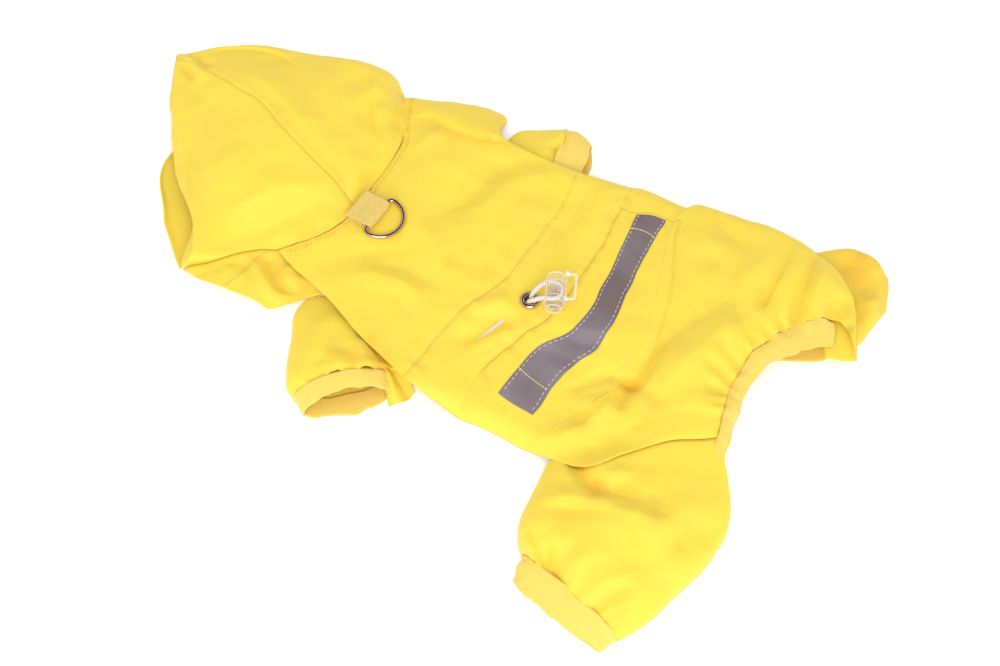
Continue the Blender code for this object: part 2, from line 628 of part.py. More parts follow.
def main():
    for obj in list(bpy.data.objects):
        bpy.data.objects.remove(obj, do_unlink=True)
    cloth = material("yellow_cloth", (0.93, 0.70, 0.07), 0.5)
    trim = material("yellow_elastic", (0.88, 0.66, 0.12), 0.8)
    webbing = material("yellow_webbing", (0.88, 0.66, 0.12), 0.8)
    grey = material("reflective_tape", (0.24, 0.20, 0.22), 0.45)
    nickel = material("nickel_wire", (0.55, 0.52, 0.5), 0.15, 1.0)
    white = material("white_cord", (0.85, 0.82, 0.78), 0.85)
    clear = material("clear_plastic", (0.95, 0.9, 0.85), 0.1, 0.0, 0.4)
    casing = build_back(cloth, trim, grey)
    build_belly(cloth)
    build_hood(cloth)
    build_legs(cloth, trim)
    build_leash_point(webbing, nickel)
    build_draw_cord(casing, nickel, white, clear)
    for obj in bpy.data.objects:
        if obj.parent is None:
            obj.location -= Vector(COAT_CENTRE) * MM


main()
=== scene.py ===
"""Looks of the dog raincoat: thin creased cloth on the CAD panels, with its bands, stitching, cord, lock and ring.

Sizes are millimetres in the tables and metres in the objects. The head lies toward -Y, the tail toward +Y, and the
dog's left side toward +X.
"""

import math

import bmesh
import bpy
import numpy as np
from mathutils import Matrix, Vector


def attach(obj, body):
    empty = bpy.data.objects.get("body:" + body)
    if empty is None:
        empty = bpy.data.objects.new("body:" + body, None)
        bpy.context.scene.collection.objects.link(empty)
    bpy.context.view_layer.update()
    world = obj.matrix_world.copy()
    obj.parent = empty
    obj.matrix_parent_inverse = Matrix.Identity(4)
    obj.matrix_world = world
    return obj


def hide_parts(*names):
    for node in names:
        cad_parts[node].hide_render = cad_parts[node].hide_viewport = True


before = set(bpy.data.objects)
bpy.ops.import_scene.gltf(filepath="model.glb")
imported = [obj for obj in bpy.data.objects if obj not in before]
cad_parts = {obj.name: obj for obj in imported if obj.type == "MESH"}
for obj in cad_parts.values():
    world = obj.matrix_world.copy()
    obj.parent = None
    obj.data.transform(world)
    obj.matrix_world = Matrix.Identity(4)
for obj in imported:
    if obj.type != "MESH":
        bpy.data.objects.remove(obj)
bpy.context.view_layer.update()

MM = 0.001
COAT_CENTRE = np.array((-3.25, 1.35, 0.0))  # middle of the coat in the panel tables, which becomes the origin
FLOOR_EDGE = 0.5
COAT, RING = "coat", "ring"
CRISP_CREST, SOFT_CREST = 0.3, 1.5  # how round the crest of a fold is
STEP_WIDTH = 2.0  # how far a step takes to fall off on its steep side
FOLD_FADE = 0.35  # share of a fold's length over which its strength changes at either end
FOLD_GAIN = 1.15  # folds are raised by this, crisp ones once more
FACETS = (0.35, 0.95), (9, 18), (34, 85)  # height, width and length of the broad flat folds
WORLD_LEVEL = 0.85
WALL = 0.6  # of a cloth piece
THIN_WALL = 0.35

# The back, from the neck seam to the tail seam. Each row is one section of it, right side to left side.
# Columns: seven points (x, y, z), then the height that the right and the left edge come down to.
BACK_ROWS = (
    # neck seam
    ((-98, -88, 5), (-78, -77, 10), (-59, -65, 13), (-11, -61, 15), (8, -64, 15), (22, -72, 13), (35, -84, 10), 0, 9),
    ((-112, -54, 8), (-92, -52, 13), (-58, -43, 15), (-12, -38, 16), (12, -41, 15), (31, -46, 13),
     (43, -52, 11), 0, 10),
    # shoulder corner
    ((-116.5, -32, 8), (-93, -29, 13), (-57, -24, 15), (-14, -18, 16), (12, -19, 15), (35, -23, 14),
     (51, -29, 13), 0, 12),
    ((-98, -20, 13), (-82, -16, 14), (-55, -10, 15), (-14, -5, 15), (12, -6, 14), (38, -9, 13), (56, -15, 14), 10, 13),
    # front seam of the waist casing
    ((-101, 27, 12), (-84, 30, 13), (-58, 33, 13), (-14, 32, 14), (12, 24.5, 13), (40, 22, 12), (65, 21, 12.5), 10, 12),
    # rear seam of the waist casing, front edge of the pocket
    ((-113.5, 56.5, 8), (-92, 61, 11), (-58, 66, 12), (-14, 67, 14), (8, 60, 12), (38, 53, 10), (65, 56, 7), 0, 0),
    # front edge of the reflective strip
    ((-115.5, 65, 8), (-91, 71.5, 11), (-58, 77.5, 13), (-14, 83, 15), (14, 71, 12), (49, 68, 10), (63.5, 66, 7), 0, 0),
    # rear edge of the reflective strip
    ((-117.5, 79, 8), (-97, 86, 11), (-58, 91, 14), (-8, 100, 16), (14, 92, 12), (50.5, 91, 10), (62.5, 88, 7), 0, 0),
    # rear hem of the pocket
    ((-119.5, 98.5, 8), (-101, 93, 12), (-62, 112, 16), (-20, 125, 17), (8, 122, 15), (51, 104, 11),
     (61, 100, 8), 0, 0),
    ((-128, 121, 9), (-106, 119, 13), (-64, 130, 19), (-18, 136, 20), (12, 131, 18), (45, 116, 14),
     (62.5, 112, 10), 0, 6),
    ((-132.5, 148.5, 9), (-108, 143, 14), (-70, 145, 19), (-26, 147, 20), (6, 143, 18), (36, 136, 17),
     (60, 131, 17), 0, 16),
    ((-123, 177, 12), (-107, 166, 15), (-77, 157, 17), (-37, 156, 18), (-8, 153, 18), (20, 149, 18),
     (45, 144, 18.5), 11, 17),
    ((-109, 198, 14), (-105, 184, 15), (-80, 168, 15), (-44, 163, 16), (-18, 163, 17), (6, 161, 17),
     (27, 157, 18), 11, 16.5),
    # tail seam
    ((-77, 218, 13), (-91, 199, 14), (-76, 180, 14), (-52, 170, 14), (-32, 169, 14), (-12, 173, 14),
     (6, 179, 14), 11, 13),
)
CASING_FRONT, CASING_REAR, STRIP_FRONT, STRIP_REAR, POCKET_HEM, TAIL_SEAM = 4, 5, 6, 7, 8, 13  # rows of seams and edges
POCKET_RIGHT, POCKET_LEFT = 1 / 6, 5 / 6  # its ends, across the back
BACK_RIMS = (9.0, 9.0)  # how far in from its right and left edges the back has risen to its height

# The hood, from the face opening to the neck seam: right edge, right side, crown seam, left side, left fold, left edge.
# The last two columns are the heights that the right and the left edge come down to.
HOOD_ROWS = (
    ((-52, -218, 5), (-49, -218.5, 7), (-44, -215.5, 9), (-13, -195, 10), (28, -160, 9), (71, -124, 7), 0, 5),
    ((-78.5, -180.5, 12), (-62, -181, 18), (-39, -178, 21), (-7, -163, 20), (34, -143, 15), (67, -119, 9), 0, 7),
    ((-89.5, -151, 14), (-63, -149, 23), (-33, -146, 28), (-4, -135, 26), (32, -126, 18), (60, -112, 10), 0, 8),
    ((-102, -124, 15), (-66, -119, 23), (-23, -117, 29), (2, -110, 27), (27, -106, 20), (50, -103, 12), 0, 10),
    ((-106, -103, 13), (-66, -94, 18), (-18, -91, 23), (4, -90, 22), (22, -92, 18), (42, -95, 12), 0, 10),
    ((-99, -90.5, 6), (-60, -66.5, 14), (-11, -62, 16), (6, -64.5, 16), (19, -71, 15), (35, -85.5, 11), 0, 10),
)
CROWN = 2 / 5  # the crown seam's place across the hood
HOOD_RIMS = (12.0, 3.5)

# The hood's lower layer, seen past the near edge of the face opening: right end and left end of each row.
HOOD_UNDER_ROWS = (
    ((-52, -210, 1.2), (-5, -182, 1.2), (20, -177, 2.5), (37.5, -164, 3.5), (55.5, -145.5, 3.0), (69.5, -126, 1.2)),
    ((-70, -190, 1.2), (-8, -172, 1.2), (18, -168, 1.2), (33, -158, 1.2), (48, -143, 1.2), (64, -125, 1.2)),
    ((-95, -140, 1.2), (-50, -135, 1.2), (-20, -130, 1.2), (8, -126, 1.2), (30, -122, 1.2), (52, -117, 1.2)),
    ((-98, -108, 1.2), (-60, -103, 1.2), (-25, -101, 1.2), (5, -100, 1.2), (20, -99, 1.2), (30, -98, 1.2)),
    ((-92, -94, 1.2), (-60, -90, 1.2), (-25, -88, 1.2), (0, -88, 1.2), (12, -88, 1.2), (24, -88, 1.2)),
)

# The chest panel, which shows between the hood, the back and the left front leg: outer edge to inner edge.
CHEST_ROWS = (
    ((70.5, -123, 2), (66, -120, 3.0), (60, -117, 3.5), (52, -112, 3.5)),
    ((70.5, -109, 5), (62, -104, 6.5), (52, -101, 6.5), (36, -96, 5)),
    ((68, -92, 6), (58, -89, 7.5), (44, -87, 7.0), (26, -82, 6)),
    ((66.5, -77.5, 6), (55, -74, 8.5), (42, -72, 8.0), (26, -68, 6)),
    ((66, -67, 5), (54, -63, 7.5), (42, -61, 7.5), (30, -58, 6)),
    ((57, -60.5, 3), (48, -57, 5.5), (42, -54, 5.5), (34, -52, 5)),
    ((47.5, -57, 2.5), (43, -49, 4), (39, -45, 4), (34, -43, 4)),
)
CHEST_FOLDS = (
    ("crisp", 2.4, 4, 0.5, 0.5, ((46, -98), (52, -88), (58, -78), (61, -70), (57, -62))),
    ("soft", -2.6, 4, 0.3, 0.8, ((42, -88), (49, -80), (55, -72), (54, -63), (50, -58))),
    ("crisp", 1.6, 4, 0, 0.5, ((40, -78), (48, -70), (50, -62))),
    ("crisp", 1.2, 4, 0, 0, ((58, -108), (62, -98), (62, -88))),
)

# The belly panel lies flat under the back. Columns: right end (x, y), left end (x, y).
BELLY_ROWS = (
    ((-88, -83), (24, -80)),
    ((-107, -56), (24, -56)),
    ((-112, -36), (24, -36)),
    ((-64, -30), (24, -30)),
    ((-64, 0), (24, 0)),
    ((-64, 36), (24, 34)),
    ((-102, 42), (57, 42)),
    ((-106, 60), (59, 60)),
    ((-109, 90), (57, 90)),
    ((-117, 104), (53, 102)),
    ((-120, 122), (47, 110)),
    ((-104, 138), (30, 131)),
    ((-84, 154), (12, 151)),
    ((-70, 166), (-6, 168)),
)

# The elastic band round the tail opening. Columns: edge on the back, free edge.
TAIL_BAND_ROWS = (
    ((-89, 198, 13), (-76, 204, 11.5)),
    ((-85, 188, 13.5), (-70, 196, 12.5)),
    ((-72, 178, 14), (-59, 187, 12)),
    ((-53, 171, 14), (-46.5, 180, 11)),
    ((-34, 170, 14), (-30.5, 177.8, 10.5)),
    ((-14, 174, 14), (-12, 181.5, 10)),
    ((4, 180, 13), (5, 187, 9)),
    ((17, 186.5, 10), (18.5, 194.5, 6.5)),
    ((29, 196, 7), (30, 200, 4)),
    ((38, 203, 5), (37.5, 206.5, 3)),
)
# The turned cloth at the right end of the tail opening.
TAIL_CORNER_ROWS = (
    ((-106, 199, 9.0), (-100, 192, 8.6), (-93, 186, 8.0)),
    ((-93, 209, 9.8), (-88, 201, 9.6), (-83, 193, 9.0)),
    ((-77, 218.5, 9.0), (-72.5, 211, 9.4), (-69.5, 203, 9.0)),
)
TAIL_UNDER_ROWS = (
    ((-86, 199, 1.4), (-79, 205, 1.4)),
    ((-77, 190, 1.4), (-70, 200, 1.4)),
    ((-70, 181, 1.4), (-63, 189, 1.4)),
    ((-62, 172, 1.4), (-57, 179, 1.4)),
    ((-50, 168, 1.4), (-46, 175, 1.4)),
    ((-34, 170, 1.4), (-33, 176, 1.4)),
    ((-18, 172, 1.4), (-18, 178, 1.4)),
)

# Legs are flattened tubes. Columns: one side on the surface (x, y), the other side, height of the top layer,
# how far the lower and the upper layer run on past the straight line between the two sides.
FRONT_LEFT_RINGS = (
    (44.5, -53, 33, 1, 6.0, 0, 0),
    (51.5, -56, 39, 5, 7.0, 0, 0),
    (61, -54.5, 46, 9, 9.5, 0, 0),
    (76, -46, 52, 12, 12.5, 0, 0),
    (91, -37.5, 56, 14, 15.0, 2, -1),
    (99.5, -31, 59, 16, 16.0, 3, -3),
    (103, -24, 63.5, 14, 14.3, 3, -4),
)
FRONT_LEFT_CUFF = (
    (103.6, -23.0, 65, 13, 14.4, 3.7, -3.6),
    (106, -18.5, 68, 16, 13.5, 5, -3),
    (108.5, -14, 71.5, 19, 12.5, 6, -3),
)
# The leg's cloth where it bulges past the right end of that cuff.
FRONT_LEFT_BULGE_ROWS = (
    ((55, 8, 8.0), (59, 18, 6.0), (64.5, 27.5, 1.6)),
    ((63, 8, 9.0), (66, 17, 7.0), (71.5, 26.5, 1.6)),
    ((72, 10, 7.0), (74, 16, 5.0), (78.5, 21.5, 1.2)),
)
BULGE_FOLDS = (
    ("crisp", -2.4, 3, 0.6, 0.6, ((60, 2), (66, 10), (72, 24))),
    ("crisp", 1.6, 3, 0.5, 0.5, ((66, 4), (71, 14), (77, 22))),
    ("crisp", -2.0, 3, 0.6, 0.6, ((70, 4), (77, 13), (83, 20))),
)
FRONT_RIGHT_RINGS = (
    (-98, -22, -68, -22, 5.0, 0, 0),
    (-112.5, -19.5, -70, -10, 6.0, 0, 0),
    (-120, -9, -76, 4, 7.0, 0, 0),
    (-126, 0, -82, 13, 9.0, 0, 0),
    (-128, 3.5, -86, 18, 9.0, 0, 0),
)
FRONT_RIGHT_CUFF = (
    (-128.2, 4.1, -86.2, 18.7, 9.0, 0, 0),
    (-129.8, 8.2, -88, 23, 8.5, 0, 0),
    (-130, 14, -90, 28, 7.0, 2, 0),
    (-127, 21, -93, 31, 5.0, 3, 0),
)
HIND_LEFT_RINGS = (
    (51.5, 113, -2, 176, 7.0, 0, 0),
    (65, 111.5, 13, 188, 11.0, 0, 0),
    (78, 112.5, 38, 206.5, 17.0, 0, 0),
    (90, 114.5, 61.5, 211, 20.0, 0, 0),
    (102, 117.5, 90, 205.2, 20.0, 0, 0),
    (110.5, 122.5, 112.5, 200.8, 17.0, 0, 0),
    (115, 128, 128.5, 193, 13.0, 1, 1),
)
HIND_LEFT_CUFF = (
    (115.8, 128.3, 128.5, 192.5, 12.0, 1, 1),
    (122.5, 129.5, 133.5, 190.3, 9.0, 2, 2),
    (129, 131, 138.2, 187.6, 5.5, 1.5, 3.5),
)
HIND_RIGHT_RINGS = (
    (-110, 139, -88, 158, 5.0, 0, 0),
    (-121, 148, -82, 176, 5.5, 0, 0),
    (-131, 164, -84, 196, 7.0, 0, 0),
    (-141.5, 175, -86, 208, 9.0, 0, 0),
    (-146, 185.5, -92, 213, 10.0, 0, 0),
    (-144, 197, -103, 214, 8.5, 0, 0),
    (-138.5, 207, -118, 215.5, 1.6, 0, 0),
)
DOME_POWER = 0.7  # below 1 a top layer is fuller than a half ellipse


# Folds of the cloth, in plan. Columns: kind, height, width, strength at the start and at the end, then its route.
# A soft fold has a round crest, a crisp one a sharp crest, and a step falls off on the right of its route.
BACK_FOLDS = (
    # shaded edge over the right shoulder
    ("step", 2.6, 12, 0.2, 1, ((-79, -76), (-86, -66), (-84, -53), (-85, -40), (-89, -28), (-94, -20))),
    ("crisp", 0.9, 4, 0, 0, ((-52, -60), (-69, -57), (-82, -50))),
    # the large trough from the right leg to the ring
    ("soft", -3.2, 8, 0.4, 0, ((-90, 2), (-75, -7), (-59, -13), (-43, -16), (-29, -24), (-16, -35))),
    ("crisp", 1.8, 7, 0.5, 0, ((-90, 18), (-78, 6), (-66, -2), (-48, -5), (-30, -12))),
    ("soft", -1.6, 6, 0, 0, ((-88, -10), (-74, -18), (-58, -24), (-42, -30))),
    ("crisp", -1.1, 5, 0.3, 0, ((-80, -78), (-82, -57), (-83, -38))),
    ("crisp", 1.2, 8, 0, 0, ((-62, -52), (-60, -22), (-66, 7))),
    # from the chest toward the casing
    ("soft", -2.6, 7, 0.6, 0, ((30, -56), (16, -42), (6, -30), (-4, -14))),
    ("soft", -2.2, 6, 0, 0, ((24, -40), (14, -22), (11, -6), (15, 10))),
    ("crisp", 1.4, 6, 0, 0, ((34, -44), (24, -26), (20, -10), (22, 6))),
    ("soft", -1.3, 4, 0, 0, ((-9, -8), (-8, 0), (-1, 2))),
    ("soft", -1.2, 5, 0, 0, ((-4, 4), (-16, 21), (-22, 26))),
    ("crisp", 0.9, 4, 0, 0, ((-20, -30), (-10, -12), (-2, 2))),
    # round the casing
    ("crisp", -1.3, 5, 0.3, 0, ((39, 23), (27, 35), (9, 43), (-1, 49))),
    ("soft", -1.5, 4, 0, 0, ((20, 26), (13, 34), (2, 47))),
    ("crisp", 1.3, 4, 0, 0, ((16, 22), (8, 33), (-6, 42))),
    ("soft", -1.6, 4, 0.3, 0, ((38, 30), (22, 40), (7, 49), (-2, 60))),
    ("crisp", 1.1, 4, 0, 0, ((34, 36), (20, 47), (8, 58))),
    ("soft", -1.5, 6, 0.4, 0, ((-99, 36), (-79, 39), (-56, 41), (-36, 40))),
    ("crisp", 0.9, 5, 0.2, 0, ((-98, 46), (-78, 48), (-58, 52))),
    ("soft", -0.9, 5, 0, 0, ((10, 22), (-1, 27), (-16, 33))),
    # dips across the tape
    ("soft", -2.0, 4, 0.4, 0.3, ((2, 76), (0, 88), (-3, 102))),
    ("crisp", 1.4, 5, 0.3, 0.3, ((-5, 74), (-8, 88), (-12, 103))),
    ("soft", -1.6, 4, 0.3, 0.2, ((17, 70), (13, 80), (11, 94))),
    ("soft", -1.0, 6, 0.2, 0, ((-44, 72), (-48, 86), (-44, 100))),
    # the long trough that runs from the tail to the pocket's rear corner
    ("soft", -2.9, 11, 0, 1, ((-94, 148), (-82, 150), (-68, 143), (-50, 136), (-30, 129), (-10, 123), (6, 123))),
    ("crisp", 2.4, 11, 0, 0, ((-84, 166), (-60, 156), (-36, 148), (-14, 142), (6, 140), (20, 138))),
    # star of creases at the pocket's rear corner
    ("crisp", -1.8, 4, 1, 0, ((6, 123), (17, 125), (30, 128))),
    ("crisp", 1.5, 4, 0.6, 0, ((8, 118), (20, 118), (31, 124))),
    ("crisp", -1.5, 4, 1, 0, ((6, 123), (8, 134), (10, 148))),
    ("crisp", -1.3, 3, 1, 0, ((6, 123), (9, 111), (22, 101), (36, 96))),
    ("crisp", -1.4, 4, 1, 0, ((6, 124), (-14, 124), (-34, 126))),
    ("soft", 1.8, 6, 0, 0, ((22, 108), (30, 116), (28, 130))),
    ("soft", -1.6, 5, 0, 0, ((36, 104), (40, 116), (34, 130), (28, 138))),
    ("crisp", 1.6, 7, 0.3, 0, ((62, 102), (46, 117), (32, 133), (18, 150))),
    ("soft", -1.8, 7, 0.5, 0, ((66, 112), (52, 124), (38, 138), (26, 150))),
    # over the rump and round the tail opening
    ("step", 1.6, 10, 0.3, 0.2, ((-121, 156), (-103, 158), (-79, 160), (-59, 164))),
    ("crisp", 1.6, 9, 0.6, 0, ((-114, 97), (-103, 104), (-94, 112), (-88, 126))),
    ("crisp", -1.4, 7, 0.6, 0, ((-114, 100), (-108, 112), (-104, 126), (-96, 140))),
    ("crisp", -1.6, 8, 0, 0.3, ((67, 121), (47, 129), (27, 141), (5, 159))),
    ("soft", -1.8, 8, 0, 0, ((-92, 112), (-84, 124), (-90, 148))),
    ("soft", -2.2, 7, 0.3, 0, ((-116, 157), (-98, 155), (-70, 154), (-58, 158), (-50, 168))),
    ("crisp", 1.8, 6, 0, 0.4, ((-110, 146), (-92, 146), (-74, 150), (-64, 160))),
    ("crisp", -3.0, 4, 0.6, 0.8, ((-118, 167), (-102, 170), (-86, 174), (-70, 177))),
    ("crisp", 2.2, 6, 0.4, 0.4, ((-114, 174), (-100, 177), (-84, 182))),
    ("soft", -1.6, 6, 0, 0.6, ((-92, 152), (-74, 160), (-58, 170))),
    ("soft", -1.6, 5, 0, 0.6, ((-106, 194), (-96, 194), (-86, 192))),
    ("crisp", 1.3, 5, 0, 0.5, ((-58, 140), (-46, 152), (-42, 164))),
    ("soft", -1.5, 5, 0, 0.8, ((-40, 146), (-36, 156), (-38, 166))),
    ("soft", -1.4, 5, 0, 0.8, ((-22, 148), (-26, 157), (-32, 166))),
    ("crisp", 1.2, 5, 0, 0.6, ((-30, 146), (-31, 156), (-35, 166))),
    ("soft", -1.3, 4, 0, 0.8, ((-10, 154), (-14, 162), (-20, 168))),
    ("crisp", 1.2, 5, 0, 0.6, ((4, 150), (0, 162), (-4, 172))),
)
HOOD_FOLDS = (
    # the pinch at the top of the crown
    ("crisp", 2.4, 3, 0.6, 0, ((-41, -207), (-38, -201), (-34, -193), (-32, -184))),
    ("crisp", -2.0, 2.5, 0.8, 0, ((-37, -207), (-34, -200), (-29, -193))),
    ("crisp", -1.6, 2.5, 0.8, 0, ((-46, -204), (-43, -198), (-42, -188))),
    ("soft", -1.6, 7, 0.4, 0, ((-30, -202), (-22, -190), (-16, -178))),
    # beside the crown seam
    ("crisp", 1.8, 9, 0, 0.3, ((-45, -190), (-44, -172), (-43, -151), (-36, -130), (-29, -109), (-23, -88), (-9, -64))),
    ("soft", -1.2, 5, 0, 0.3, ((-38, -172), (-36, -150), (-30, -128), (-22, -104), (-12, -78))),
    # the rolled edge over the right side, from the pinch
    ("step", 2.2, 14, 0.3, 0, ((-46, -206), (-58, -194), (-66, -178), (-70, -158), (-66, -138))),
    # facets by the neck
    ("step", 1.3, 9, 0, 0.5, ((-100, -116), (-88, -108), (-74, -98), (-58, -84), (-44, -70))),
    ("crisp", -1.0, 6, 0, 0, ((-92, -112), (-76, -112), (-60, -100), (-48, -86))),
    ("crisp", -1.5, 6, 0.2, 0, ((-88, -92), (-78, -93), (-69, -96), (-60, -90), (-54, -78))),
    ("crisp", 1.3, 8, 0.6, 0, ((-94, -88), (-82, -86), (-70, -88), (-62, -82))),
    ("soft", 1.8, 7, 0, 0, ((-92, -104), (-80, -102), (-68, -104), (-56, -98))),
    # fan of folds from the webbing tab
    ("soft", -3.4, 8, 0.6, 0, ((0, -64), (5, -79), (15, -87), (29, -95), (44, -106), (64, -119))),
    ("crisp", 2.2, 8, 0.3, 0, ((-1, -66), (0, -84), (8, -98), (22, -110), (40, -122))),
    ("crisp", -1.6, 5, 0.6, 0, ((-4, -62), (-13, -75), (-19, -84), (-26, -97))),
    ("crisp", 1.4, 5, 0.6, 0, ((-8, -62), (-20, -70), (-32, -78), (-44, -82))),
    ("soft", -1.4, 5, 0.6, 0, ((-11, -62), (-24, -66), (-38, -70))),
    ("soft", -1.5, 5, 0.6, 0, ((2, -62), (12, -70), (24, -80), (26, -90))),
    ("crisp", 1.2, 5, 0.5, 0, ((0, -63), (8, -70), (16, -76))),
    # soft hollows in the crown
    ("soft", -2.6, 16, 0, 0, ((-30, -178), (-10, -168), (12, -160), (26, -150))),
    ("soft", 1.5, 12, 0, 0, ((6, -146), (18, -132), (30, -122))),
    # face opening, whose near edge turns in low down
    ("step", 3.0, 9, 0.2, 1, ((36, -160), (41, -151), (48, -141), (56, -131), (63, -124), (72, -121))),
    ("crisp", 1.6, 5, 0.5, 0.5, ((-36, -206), (-12, -188), (14, -168), (40, -147), (66, -124))),
    ("soft", -1.3, 6, 0.2, 0.2, ((-32, -196), (-6, -178), (18, -160), (44, -139))),
)
LEFT_FRONT_FOLDS = (
    # pleats by the right end of the cuff
    ("crisp", -3.6, 4, 0.1, 1, ((50, -20), (57, -10), (63, -2), (70, 7))),
    ("crisp", -2.8, 3.5, 0, 1, ((48, -10), (56, 0), (64, 9))),
    ("crisp", 2.4, 4, 0, 1, ((54, -16), (61, -6), (68, 3))),
    ("crisp", 1.8, 3.5, 0, 1, ((60, -16), (68, -6), (76, 1))),
    ("crisp", -1.8, 4, 0, 1, ((66, -20), (75, -10), (84, -3))),
    ("crisp", 1.5, 5, 0, 1, ((72, -22), (82, -13), (92, -8))),
    ("crisp", -1.4, 4, 0, 1, ((80, -26), (90, -18), (98, -14))),
    # across the leg
    ("crisp", 1.5, 9, 0, 0.4, ((52, -44), (64, -36), (80, -31), (96, -28))),
    ("crisp", -1.6, 7, 0, 0.3, ((54, -34), (68, -26), (84, -22), (98, -20))),
)
RIGHT_HIND_FOLDS = (
    ("soft", -6.0, 10, 0.2, 0.2, ((-133, 172), (-126, 184), (-118, 194), (-106, 202))),
    ("crisp", 2.4, 6, 0, 0, ((-141, 184), (-136, 194), (-128, 203))),
    ("crisp", -1.8, 4, 0, 0.6, ((-112, 190), (-104, 200), (-96, 210))),
    ("crisp", 1.8, 4, 0, 0.4, ((-118, 204), (-108, 209), (-98, 213))),
)
RIGHT_FRONT_FOLDS = (
    ("crisp", -2.4, 3, 0, 1, ((-112, 0), (-106, 8), (-104, 16))),
    ("crisp", -2.0, 3, 0, 1, ((-104, 2), (-98, 10), (-96, 17))),
    ("crisp", 1.6, 3, 0, 1, ((-118, -4), (-114, 6), (-112, 14))),
)
LEFT_HIND_FOLDS = (
    ("crisp", -1.9, 5, 1, 0, ((68, 131), (69, 143), (64, 151), (52, 157), (38, 160))),
    ("crisp", 2.2, 9, 0, 0, ((90, 134), (81, 150), (73, 175), (72, 198))),
    ("crisp", -2.2, 4, 0.3, 1, ((108, 134), (120, 146), (129, 155))),
    ("crisp", -4.0, 5, 1, 0.6, ((62, 126), (67, 134), (72, 142))),
    ("crisp", -2.6, 6, 1, 0, ((72, 141), (68, 154), (66, 170), (67, 188))),
    ("crisp", 2.4, 8, 0.6, 0, ((66, 134), (56, 148), (50, 164), (52, 182))),
    ("crisp", -1.6, 4, 0.3, 0, ((99, 120), (90, 136), (82, 153), (80, 164))),
    ("crisp", 1.4, 6, 0.2, 0, ((92, 118), (84, 134), (76, 148), (74, 160))),
    ("soft", -3.0, 8, 0.3, 0, ((52, 209), (66, 197), (76, 193), (86, 195))),
    ("crisp", 2.0, 7, 0, 0, ((56, 186), (68, 182), (84, 182), (96, 188))),
    ("soft", -2.2, 8, 0, 0, ((42, 168), (54, 168), (66, 172))),
    ("crisp", -2.2, 4, 0.2, 1, ((104, 120), (114, 135), (128, 153))),
    ("crisp", 1.8, 5, 0.2, 0.8, ((109, 121), (120, 136), (129, 148))),
    ("crisp", -2.2, 4, 0, 1, ((104, 188), (116, 179), (130, 173))),
    ("crisp", 1.8, 5, 0, 0.8, ((102, 180), (114, 173), (128, 168))),
    ("soft", -2.2, 8, 0, 0.4, ((84, 166), (102, 176), (128, 165))),
    ("soft", -1.8, 6, 0, 1, ((106, 142), (116, 147), (130, 157))),
    ("crisp", 1.4, 5, 0, 1, ((104, 152), (116, 158), (130, 162))),
    ("soft", -1.8, 5, 0, 1, ((112, 190), (120, 186), (130, 182))),
)


def stretched(table):
    """The table with one more entry at each end, on a straight line, so that a smooth curve reaches its ends."""
    return np.concatenate((2 * table[:1] - table[1:2], table, 2 * table[-1:] - table[-2:-1]))


def blend_of(at, count):
    """For a place on a smooth curve, the first of the four entries that it blends and how much of each."""
    first = np.clip(np.floor(at).astype(int), 0, count - 2)
    f = at - first
    before, at_first = (2 * f**2 - f - f**3) / 2, (2 - 5 * f**2 + 3 * f**3) / 2
    return first, [before, at_first, (f + 4 * f**2 - 3 * f**3) / 2, (f**3 - f**2) / 2]


def curve_at(table, t):
    """Points at each t, from 0 to 1, on a smooth curve through the table's entries."""
    table = np.asarray(table, float)
    first, shares = blend_of(np.asarray(t, float) * (len(table) - 1), len(table))
    table = stretched(table)
    return sum(share[..., None] * table[first + k] for k, share in enumerate(shares))


def surface_at(table, u, v):
    """Points at each (u, v), from 0 to 1, on a smooth surface through the table's rows and columns."""
    row, across = blend_of(np.asarray(u, float) * (table.shape[0] - 1), table.shape[0])
    column, along = blend_of(np.asarray(v, float) * (table.shape[1] - 1), table.shape[1])
    table = stretched(stretched(table).swapaxes(0, 1)).swapaxes(0, 1)
    return sum((across[a] * along[b])[..., None] * table[row + a, column + b] for a in range(4) for b in range(4))


def rise(distance, width):
    """0 at an edge and 1 from width inward, on a quarter of an ellipse."""
    return np.sqrt(1 - (1 - np.clip(distance / width, 0, 1)) ** 2)


def smooth(t):
    """0 below 0, 1 above 1, and an even S between them."""
    t = np.clip(t, 0, 1)
    return t * t * (3 - 2 * t)


def even_line(points, count):
    """Points at even distances along a line."""
    points = np.asarray(points, float)
    reach = np.concatenate(([0], np.cumsum(np.linalg.norm(np.diff(points, axis=0), axis=1))))
    wanted = np.linspace(0, reach[-1], count)
    return np.stack([np.interp(wanted, reach, points[:, k]) for k in range(points.shape[1])], 1)


def nearest(route, x, y):
    """For each (x, y): distance to a smooth line through the route, place along it, its side; then its length."""
    route = np.asarray(route, float)
    line = curve_at(route, np.linspace(0, 1, 4 * len(route) + 1))
    lengths = np.concatenate(([0], np.cumsum(np.linalg.norm(np.diff(line, axis=0), axis=1))))
    best = np.full(x.shape, 1e9)
    along, side = np.zeros(x.shape), np.zeros(x.shape)
    for k in range(len(line) - 1):
        start, step = line[k], line[k + 1] - line[k]
        px, py = x - start[0], y - start[1]
        raw = (px * step[0] + py * step[1]) / (step @ step)
        t = np.clip(raw, 0, 1)
        distance = np.hypot(px - t * step[0], py - t * step[1])
        closer = distance < best
        best = np.where(closer, distance, best)
        along = np.where(closer, lengths[k] + t * (lengths[k + 1] - lengths[k]), along)
        side = np.where(closer, np.sign(step[0] * py - step[1] * px), side)
    return best, along, side, lengths[-1]


